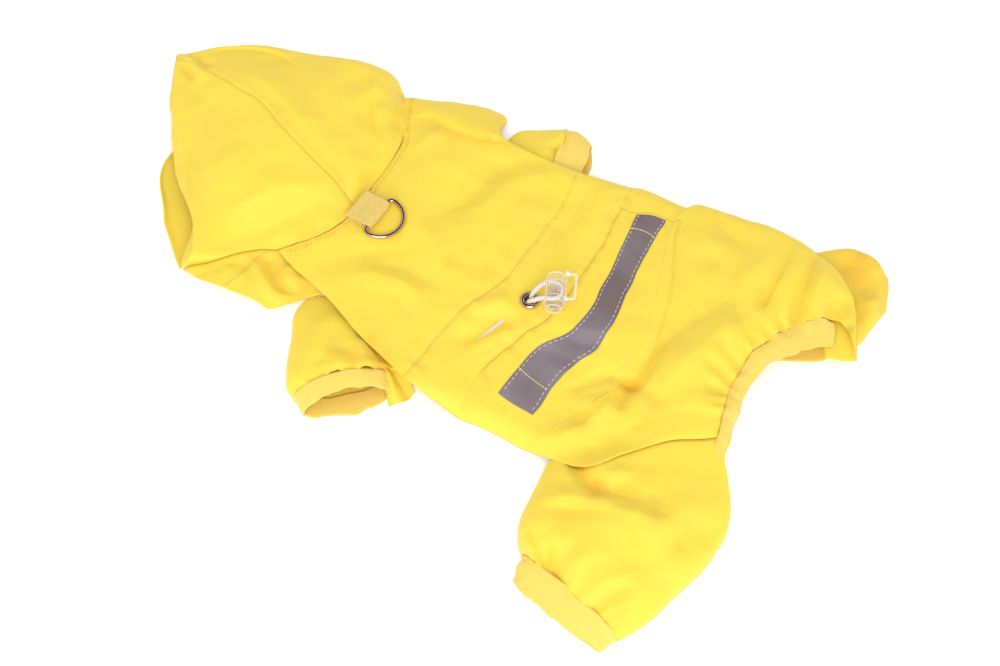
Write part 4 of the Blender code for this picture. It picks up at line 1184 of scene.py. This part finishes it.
def frames_along(points, closed):
    """For each point of a line, two directions across it that turn as little as they can."""
    ahead = np.gradient(points, axis=0)
    if closed:
        ahead[0] = ahead[-1] = points[1] - points[-2]
    ahead /= np.linalg.norm(ahead, axis=1, keepdims=True)
    side = np.cross(ahead[0], (0.0, 0.0, 1.0))
    if np.linalg.norm(side) < 0.1:
        side = np.cross(ahead[0], (0.0, 1.0, 0.0))
    sides = []
    for way in ahead:
        side = side - way * (side @ way)
        side = side / np.linalg.norm(side)
        sides.append(side)
    sides = np.array(sides)
    return sides, np.cross(ahead, sides)


def rod(points, radius, closed=False, taper=0.0):
    """A round rod along a line of points, as place(u, v) with v round it."""
    points = np.asarray(points, float)
    sides, ups = frames_along(points, closed)
    at = np.linspace(0, 1, len(points))

    def place(u, v):
        centre = np.stack([np.interp(u, at, points[:, k]) for k in range(3)], -1)
        side = np.stack([np.interp(u, at, sides[:, k]) for k in range(3)], -1)
        up = np.stack([np.interp(u, at, ups[:, k]) for k in range(3)], -1)
        reach = np.full(np.shape(u), float(radius))
        if taper:
            reach = reach * np.sqrt(1 - (1 - np.clip(np.minimum(u, 1 - u) / taper, 0, 1)) ** 2)
        turn = 2 * math.pi * v
        return centre + reach[..., None] * (np.cos(turn)[..., None] * side + np.sin(turn)[..., None] * up)

    return place


def turned(profile, middle, axis=None):
    """A profile of (along, radius) pairs turned about an axis, as place(u, v) with v round it."""
    profile = np.asarray(profile, float)
    at = np.linspace(0, 1, len(profile))
    axis = np.array((0.0, 0.0, 1.0)) if axis is None else axis
    side = np.array((1.0, 0.0, 0.0)) if abs(axis[2]) > 0.5 else np.array((0.0, 0.0, 1.0))
    up = np.cross(axis, side)

    def place(u, v):
        along, radius = np.interp(u, at, profile[:, 0]), np.interp(u, at, profile[:, 1])
        turn = 2 * math.pi * v
        round_it = np.cos(turn)[..., None] * side + np.sin(turn)[..., None] * up
        return middle + along[..., None] * axis + radius[..., None] * round_it

    return place


def stitch_row(points, long, gap, lift=0.12, start=0.0):
    """Ends of the stitches along a line of points: long on the cloth, gap out of sight."""
    points = np.asarray(points, float)
    reach = np.concatenate(([0], np.cumsum(np.linalg.norm(np.diff(points, axis=0), axis=1))))
    begin = np.arange(start, reach[-1] - long, long + gap)
    ends = [np.stack([np.interp(t, reach, points[:, k]) for k in range(3)], 1) for t in (begin, begin + long)]
    for end in ends:
        end[:, 2] += lift
    return np.stack(ends, 1)


def zigzag(first, second, step):
    """Ends of the stitches that go to and fro between two lines."""
    reach = np.linalg.norm(np.diff(np.asarray(first), axis=0), axis=1).sum()
    count = int(reach / step)
    first, second = even_line(first, count + 1), even_line(second, count + 1)
    line = np.where((np.arange(count + 1) % 2 == 0)[:, None], first, second)
    line[:, 2] += 0.12
    return np.stack((line[:-1], line[1:]), 1)


def stitches(name, spans, radius, finish, body=COAT):
    """One piece made of many small threads, each from one end of its span to the other."""
    spans = np.concatenate(spans)
    bm = bmesh.new()
    bmesh.ops.create_uvsphere(bm, u_segments=6, v_segments=5, radius=1.0)
    spots = np.array([vert.co for vert in bm.verts])
    corners = [[vert.index for vert in face.verts] for face in bm.faces]
    bm.free()
    start, end = spans[:, 0], spans[:, 1]
    way = end - start
    half = np.linalg.norm(way, axis=1, keepdims=True) / 2
    way = way / (2 * half)
    side = np.cross(way, (0.0, 0.0, 1.0))
    side /= np.maximum(np.linalg.norm(side, axis=1, keepdims=True), 1e-6)
    up = np.cross(side, way)
    full = np.sign(spots[:, 2]) * np.abs(spots[:, 2]) ** 0.6
    all_spots = ((start + end) / 2)[:, None] + way[:, None] * half[:, None] * full[None, :, None]
    all_spots = all_spots + radius * (side[:, None] * spots[None, :, :1] + up[:, None] * spots[None, :, 1:2])
    faces = [[k + step * len(spots) for k in face] for step in range(len(spans)) for face in corners]
    mesh = bpy.data.meshes.new(name)
    mesh.from_pydata((all_spots.reshape(-1, 3) * MM).tolist(), [], faces)
    mesh.polygons.foreach_set("use_smooth", [True] * len(mesh.polygons))
    return put(name, mesh, finish, body)


def solid_piece(name, place, along, around, finish, body=COAT):
    """A closed round form: along by around points moved onto place(u, v), joined where its edges meet."""
    us, vs = np.linspace(0, 1, along), np.linspace(0, 1, around)
    return cloth_piece(name, place, us, vs, finish, 0.0, True, body, False)


def build_cord():
    route = np.array(CORD_ROUTE) - COAT_CENTRE
    line = even_line(curve_at(route, np.linspace(0, 1, 1500)), 400)
    cord = solid_piece("cord", rod(line, CORD_DIAMETER / 2, taper=0.004), 620, 17, BRAID)
    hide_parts("draw_cord")


def build_lock():
    """The clear lock: barrel, button, spring, and the loop with two knobs, seen through each other."""
    along = np.array((math.cos(LOCK_TURN), math.sin(LOCK_TURN), 0.0))
    across = np.array((-along[1], along[0], 0.0))
    up = np.array((0.0, 0.0, 1.0))

    def part(name, place, length, around, finish):
        return solid_piece(f"lock_{name}", place, length, around, finish)

    barrel = (
        (-10.5, 0.0), (-10.5, 4.4), (-10.4, 4.9), (-10.0, 5.5), (-9.4, 5.8), (-6, 5.8), (-5.7, 5.65), (-5.2, 5.65),
        (-4.9, 5.8), (3.4, 5.8), (3.7, 5.6), (4.3, 5.6), (4.6, 5.8), (6.5, 5.8), (6.9, 5.6), (7.0, 5.2), (6.8, 4.95),
        (6.2, 4.9), (-8.2, 4.9), (-8.9, 4.5), (-9.1, 3.8), (-9.1, 0.0),
    )
    shell = part("barrel", turned(barrel, LOCK_MIDDLE, along), len(barrel), 49, CLEAR)
    button = (
        (-3.0, 0.0), (-3.0, 3.2), (-2.8, 3.5), (1.5, 3.5), (1.8, 3.7), (2.0, 4.4), (2.4, 4.7), (9.4, 4.7),
        (10.1, 4.4), (10.5, 3.8), (10.5, 2.2), (10.0, 1.8), (9.0, 1.7), (9.0, 0.0),
    )
    part("button", turned(button, LOCK_MIDDLE, along), len(button), 41, CLEAR)
    turns = np.linspace(0, 1, 260)
    coil = LOCK_MIDDLE + along * (-2.4 + 4.6 * turns)[:, None] + across * 1.5
    coil = coil + 1.7 * (np.cos(6 * math.pi * turns)[:, None] * across + np.sin(6 * math.pi * turns)[:, None] * up)
    # ribs round the barrel, whitish as painted highlights of its steps and ends: place along it, radius and thickness
    ribs = ((-10.2, 5.1, 0.4), (-5.4, 5.7, 0.2), (4.0, 5.7, 0.2), (6.9, 5.4, 0.4), (10.2, 4.1, 0.35))
    turn = np.linspace(0, 2 * math.pi, 61)[:, None]
    for number, (x, reach, thick) in enumerate(ribs):
        hoop = LOCK_MIDDLE + along * x + reach * (np.cos(turn) * across + np.sin(turn) * up)
        part(f"rib_{number}", rod(hoop, thick, closed=True), 61, 9, CLEAR_EDGE_HIGHLIGHT)
    # two whitish strips along the barrel, near its outline: painted highlights of its edges, at two fixed angles round
    # it
    for number, angle in enumerate((0.15, math.pi - 0.55)):
        way = 5.75 * (math.cos(angle) * across + math.sin(angle) * up)
        line = np.array([LOCK_MIDDLE + along * x + way for x in (-9.6, -4, 2, 6.4)])
        part(f"seam_{number}", rod(line, 0.3, taper=0.05), 30, 9, CLEAR_EDGE_HIGHLIGHT)
    part("spring", rod(coil, 0.3), 260, 9, NICKEL)
    near, far, half, bend, shift = 4.6, 10.6, 8.0, 1.6, 5.0
    corner = np.linspace(0, math.pi / 2, 7)[1:]
    outline = [(-half, near), (-half, far - bend)]
    outline += [(-half + bend * (1 - math.cos(a)), far - bend * (1 - math.sin(a))) for a in corner]
    outline += [(-x, y) for x, y in outline[::-1]]
    corners = np.array([LOCK_MIDDLE + along * (x - shift) + across * y for x, y in outline])
    # the loop in the same whitish plastic: partly its own frosting, partly painted highlight
    part("loop", rod(even_line(corners, 90), 0.75, taper=0.02), 120, 17, CLEAR_EDGE_HIGHLIGHT)
    knob = ((-1.2, 0.0), (-1.2, 1.0), (-1.0, 1.3), (1.0, 1.3), (1.2, 1.0), (1.2, 0.0))
    # the knobs, nearly opaque white: painted highlight near the loop's corners
    for x in (-half - shift, half - shift):
        part("knob", turned(knob, LOCK_MIDDLE + along * x + across * 5.6, along), len(knob), 25, KNOB_HIGHLIGHT)
    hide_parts("cord_lock")


def build_eyelet():
    profile = (
        (-2.2, 3.1), (0.9, 3.1), (1.3, 3.2), (1.6, 3.5), (1.75, 4.0), (1.65, 4.6), (1.3, 5.2), (0.8, 5.6),
        (0.35, 5.6), (0.25, 5.2), (0.35, 3.5), (-2.2, 3.4), (-2.2, 3.1),
    )
    ring = solid_piece("eyelet_ring", turned(profile, EYELET_MIDDLE), 40, 65, NICKEL)
    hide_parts("eyelet")


def build_leash_point():
    """The folded webbing in the neck seam, and the ring that turns in its fold."""
    half, bar, fold = 10.0, 1.3, 2.15
    turns = np.linspace(-math.pi / 2, math.pi / 2, 11)[::-1]
    profile = [(-14.5, 1.35), (-9, 1.5), (-5, 1.75), (-2.5, 1.98)]
    profile += [(fold * math.cos(a), fold * math.sin(a)) for a in turns]
    profile += [(-2.5, -1.98), (-5, -1.75), (-9, -1.5), (-13, -1.35)]
    profile = even_line(profile, 60)
    at = np.linspace(0, 1, 60)

    def place(u, v):
        along, height = np.interp(u, at, profile[:, 0]), np.interp(u, at, profile[:, 1])
        across = (v - 0.5) * 2 * half * (1 + 0.012 * np.sin(9 * along) - 0.05 * smooth((along + 4) / 6))
        points = np.stack((across, along, height), -1)
        points[..., 2] += np.where(height > 0, 0.25 * np.sin(v * 7 + 0.6) * smooth(-along / 8), 0)
        points[..., 1] += 0.4 * np.sin(v * math.pi) * smooth((along + 3) / 4)
        return points + RING_MIDDLE

    us, vs = even(0, 1, 32, 0.7), even(0, 1, 20, 0.7)
    tab = cloth_piece("tab", place, us, vs, WEBBING, 0.9, sags=False)
    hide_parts("leash_tab")
    spans = []
    for start in (0.03, 0.16, 0.22):
        vs = np.linspace(0.04, 0.96, 40)
        spans.append(zigzag(place(np.full(40, start), vs), place(np.full(40, start + 0.035), vs), 0.75))
    stitches("tab_stitches", spans, 0.16, YELLOW_THREAD)

    radius, corner = 13.0, 2.4
    path = [(radius * math.cos(a), corner + (radius - 0.5) * math.sin(a), 0) for a in np.linspace(0, math.pi, 19)]
    path += [(-radius + 0.7, 0.7, 0)] + [(k, 0, 0) for k in (-radius + corner, -5, 0, 5, radius - corner)]
    path += [(radius - 0.7, 0.7, 0), path[0]]
    line = curve_at(np.array(path), np.linspace(0, 1, 400))
    line = even_line(line, 240)
    cosine, sine = math.cos(RING_TILT), math.sin(RING_TILT)
    tilt = np.array(((1, 0, 0), (0, cosine, -sine), (0, sine, cosine)))
    line = line @ tilt.T + RING_MIDDLE
    ring = solid_piece("leash_ring", rod(line, bar, closed=True), 240, 25, NICKEL, RING)
    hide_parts("d_ring")


def rim_line(place, u=None, v=None, count=60, first=0.0, last=1.0):
    """A line across a piece at one u, or along it at one v, in three dimensions."""
    t = np.linspace(first, last, count)
    return place(np.full(count, u), t) if v is None else place(t, np.full(count, v))


CASING_BOX = (CASING_FRONT, CASING_REAR, -1, 2)
POCKET_BOX = (CASING_REAR, POCKET_HEM, POCKET_RIGHT, POCKET_LEFT)
TAPE_BOX = (STRIP_FRONT, STRIP_REAR, POCKET_RIGHT + 0.012, POCKET_LEFT - 0.022)
casing_top = lifted(back, 0.15, 0.6, CASING_BOX)


def pocket_top(u, v):
    """The pocket, whose right end bulges past the table's column."""
    bulge = 0.036 * np.exp(-(((u - 6.5) / 0.8) ** 2)) * (5 / 6 - v) / (2 / 3)
    return lifted(back, 0.25, 0.7, POCKET_BOX)(u, v - bulge)


tape_top = lifted(pocket_top, 0.35)


def build_back():
    vs = np.unique(np.concatenate((even(0, 0.07, 14, 0.7), even(0.07, 0.93, 150), even(0.93, 1, 14, 0.7))))
    yoke_rows, rump_rows = even(-0.09, CASING_FRONT + 0.06, 112, 1.1), even(CASING_REAR - 0.06, TAIL_SEAM, 116, 1.1)
    casing_rows, pocket_rows = even(CASING_FRONT, CASING_REAR, 34, 0.8), even(CASING_REAR + 0.02, POCKET_HEM, 62, 1.0)
    strip_rows, strip_vs = even(STRIP_FRONT, STRIP_REAR, 20, 0.7), even(*TAPE_BOX[2:], 150, 1.0)
    hole = (EYELET_MIDDLE, 3.5)
    yoke = cloth_piece("yoke", back, yoke_rows, vs, YELLOW, 0.4)
    casing = cloth_piece("casing", casing_top, casing_rows, vs, YELLOW, THIN_WALL, hole=hole)
    rump = cloth_piece("rump", back, rump_rows, vs, YELLOW, 0.4)
    pocket_vs = even(POCKET_RIGHT, POCKET_LEFT, 150)
    pocket = cloth_piece("pocket", pocket_top, pocket_rows, pocket_vs, YELLOW, THIN_WALL)
    strip = cloth_piece("tape", tape_top, strip_rows, strip_vs, TAPE, 0.5)
    for piece, node in (
        (yoke, "yoke_panel"), (casing, "waist_casing"), (rump, "rump_panel"), (pocket, "pocket_patch"),
        (strip, "reflective_strip"),
    ):
        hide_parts(node)


def build_back_stitches():
    hem = rim_line(pocket_top, POCKET_HEM - 0.01, count=160, first=POCKET_RIGHT, last=POCKET_LEFT)
    piping = sag(hem) + (0, 0, 0.1)
    solid_piece("pocket_piping", rod(piping, 0.4, taper=0.006), 220, 9, YELLOW)
    rows = []

    def row(line, long=1.9, gap=0.7):
        rows.append(stitch_row(sag(line), long, gap))

    for u in (CASING_FRONT + 0.05, CASING_FRONT + 0.16, CASING_REAR - 0.05, CASING_REAR - 0.16):
        row(rim_line(casing_top, u, count=200, first=0.01, last=0.99))
    for u, inset in ((POCKET_HEM - 0.34, 0.2), (POCKET_HEM - 0.07, 0.17), (CASING_REAR + 0.12, 0.17)):
        row(rim_line(pocket_top, u, count=200, first=inset, last=1 - inset))
    for v in (POCKET_RIGHT + 0.012, POCKET_LEFT - 0.012):
        row(rim_line(pocket_top, v=v, count=120, first=CASING_REAR + 0.1, last=POCKET_HEM - 0.05))
    stitches("back_stitches", rows, 0.17, YELLOW_THREAD)
    rows.clear()
    right, left = TAPE_BOX[2:]
    for u in (STRIP_FRONT + 0.09, STRIP_REAR - 0.09):
        row(rim_line(tape_top, u, count=240, first=right + 0.004, last=left - 0.004), 2.2, 1.1)
    stitches("tape_stitches", rows, 0.22, WHITE_THREAD)
    rows.clear()
    t = np.linspace(0, 1, 40)
    for v in (right + 0.068, left - 0.075):
        line = tape_top(STRIP_FRONT + t * (STRIP_REAR - STRIP_FRONT), v + 0.012 * (t - 0.5))
        rows.append(stitch_row(sag(line), 1.6, 0.1, 0.16))
    stitches("tack_stitches", rows, 0.26, PALE_THREAD)
    seams = [even_line(sag(rim_line(back, u, count=200, first=0.03, last=0.97)), 200) for u in (0.05, 0.14)]
    stitches("neck_stitches", [zigzag(*seams, 1.5)], 0.15, SEAM_THREAD)


def build_tail_band():
    seam = rim_line(back, TAIL_SEAM)
    top = settled(plain(TAIL_BAND_ROWS), seam, 9, 0.1)

    def narrowing(u, v):
        """The band, which runs on under the back and narrows to its left end."""
        under_back = v * smooth((u - 0.03) / 0.15) * (0.52 + 0.48 * smooth((u - 0.36) / 0.15))
        v = np.where(v < 0, under_back, v * (1 - 0.85 * smooth((u - 0.62) / 0.22)))
        points = top(u, v)
        drop = 0.9 - 0.55 * smooth((u - 0.35) / 0.2) + 1.6 * np.exp(-(((u - 0.12) / 0.07) ** 2))
        points[..., 2] -= drop * smooth(-v / 0.15)
        points[..., 2] -= 6.0 * np.maximum(-v - 0.2, 0)
        return points

    us, vs = even(0, 0.84, 130, 1.0), even(-0.42, 1, 18, 0.8)
    band = cloth_piece("tail_band_top", rippled(narrowing, 91), us, vs, BAND, 1.0)
    corner = cloth_piece("tail_corner", plain(TAIL_CORNER_ROWS), even(0, 1, 34), even(0, 1, 18), YELLOW)
    us, vs = even(0, 1, 90, 1.2), even(0, 1, 8, 0.8)
    under = cloth_piece("tail_band_lower", plain(TAIL_UNDER_ROWS), us, vs, BAND, 1.0)
    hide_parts("tail_band")
    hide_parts("tail_band_under")
    row = stitch_row(sag(rippled(top, 91)(np.linspace(0.08, 0.79, 200), np.full(200, 0.16))), 1.6, 0.8)
    stitches("tail_stitches", [row], 0.17, YELLOW_THREAD)


def build_hood():
    neck = rim_line(back, 0.0)
    top = settled(hood, neck, 9, -0.05)
    us = even(0, 1, 135, 1.1)
    right = np.unique(np.concatenate((even(0, 0.05, 12, 0.8), even(0.05, CROWN, 62, 1.1))))
    left = np.unique(np.concatenate((even(CROWN, 0.94, 82, 1.1), even(0.94, 1, 14, 0.8))))
    right_half = cloth_piece("hood_right", top, us, right, YELLOW, THIN_WALL)
    left_half = cloth_piece("hood_left", top, us, left, YELLOW, THIN_WALL)
    lower = plain(HOOD_UNDER_ROWS)
    under = cloth_piece("hood_lower_layer", lower, even(0, 1, 110), even(0, 1, 150), YELLOW)
    chest_top = settled(plain(CHEST_ROWS, lambda x, y: relief(CHEST_FOLDS, x, y)), rim_line(top, v=1.0), 7, 1.3)
    us, vs = even(0, 1, 66, 1.0), even(0, 1, 38, 1.0)
    # the chest carries a little painted shade all over
    chest = cloth_piece("chest", chest_top, us, vs, YELLOW, 0.4, shade=0.2)
    lines = [sag(rim_line(chest_top, u, count=60, first=0.06, last=0.8)) for u in (0.278, 0.303)]
    stitches("chest_stitches", [zigzag(*lines, 1.2)], 0.14, SEAM_THREAD)
    for piece, node in (
        (right_half, "hood_right_panel"), (left_half, "hood_left_panel"), (under, "hood_under_layer"),
        (chest, "chest_panel"),
    ):
        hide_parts(node)


def build_belly():
    rows = [((*right, 1.0), (*left, 1.0)) for right, left in BELLY_ROWS]
    belly = cloth_piece("belly", plain(rows), even(0, 1, 250, 3), even(0, 1, 150, 3), YELLOW, 1.0)
    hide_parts("belly_panel")


def build_legs():
    round_places = np.linspace(0, 1, 181)
    edge = rim_line(back, v=1.0, count=40, first=8.6, last=TAIL_SEAM)
    # Columns: name, rings, folds, points along it, pleats, finish, slot, flat size, seed, edge lying over it.
    legs = (
        ("front_leg_left", FRONT_LEFT_RINGS, LEFT_FRONT_FOLDS, 60, 1.8, YELLOW, "yellow_cloth", (0.135, 0.062), 1,
         None),
        ("front_cuff_left", FRONT_LEFT_CUFF, (), 10, 0, BAND, "yellow_elastic", (0.135, 0.011), 2, None),
        ("front_leg_right", FRONT_RIGHT_RINGS, RIGHT_FRONT_FOLDS, 42, 1.6, YELLOW, "yellow_cloth", (0.10, 0.042), 3,
         None),
        ("front_cuff_right", FRONT_RIGHT_CUFF, (), 20, 0, BAND, "yellow_cloth", (0.09, 0.02), 4, None),
        ("hind_leg_left", HIND_LEFT_RINGS, LEFT_HIND_FOLDS + LEG_STRAYS, 80, 1.1, YELLOW, "yellow_cloth", (0.19,
         0.085), 5, edge),
        ("hind_cuff_left", HIND_LEFT_CUFF, (), 14, 0, BAND, "yellow_elastic", (0.14, 0.014), 6, None),
        ("hind_leg_right", HIND_RIGHT_RINGS, RIGHT_HIND_FOLDS, 70, 0.0, YELLOW, "yellow_cloth", (0.11, 0.075), 7, None),
    )
    bulge = plain(FRONT_LEFT_BULGE_ROWS, lambda x, y: relief(BULGE_FOLDS, x, y))
    us, vs = even(0, 1, 22, 0.8), even(0, 1, 24, 0.8)
    # painted shade all over the bulge, for its deep pleats
    flap = cloth_piece("front_leg_left_bulge", bulge, us, vs, YELLOW, shade=0.25)
    for name, rings, folds, length, pleats, finish, slot, flat, seed, line in legs:
        cuff = finish is BAND
        place = tube_place(rings, folds, pleats, seed, line)
        if cuff:
            place = rippled(place, 80 + seed)
        us = even(-0.12 if cuff else 0, 1, length, 1.0)
        # the far right hind leg gets painted shade all over it
        wall, shade = 1.0 if cuff else WALL, 0.5 if name == "hind_leg_right" else 0.0
        piece = cloth_piece(name + "_cloth", place, us, round_places, finish, wall, True, shade=shade)
        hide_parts(name)
        if cuff:
            us, vs = np.full(120, 0.14), np.linspace(0.01, 0.49, 120)
            stitches(name + "_stitches", [stitch_row(sag(place(us, vs)), 1.6, 0.8)], 0.17, YELLOW_THREAD)


build_cord()
build_lock()
build_eyelet()
build_leash_point()
build_back()
build_back_stitches()
build_tail_band()
build_hood()
build_belly()
build_legs()
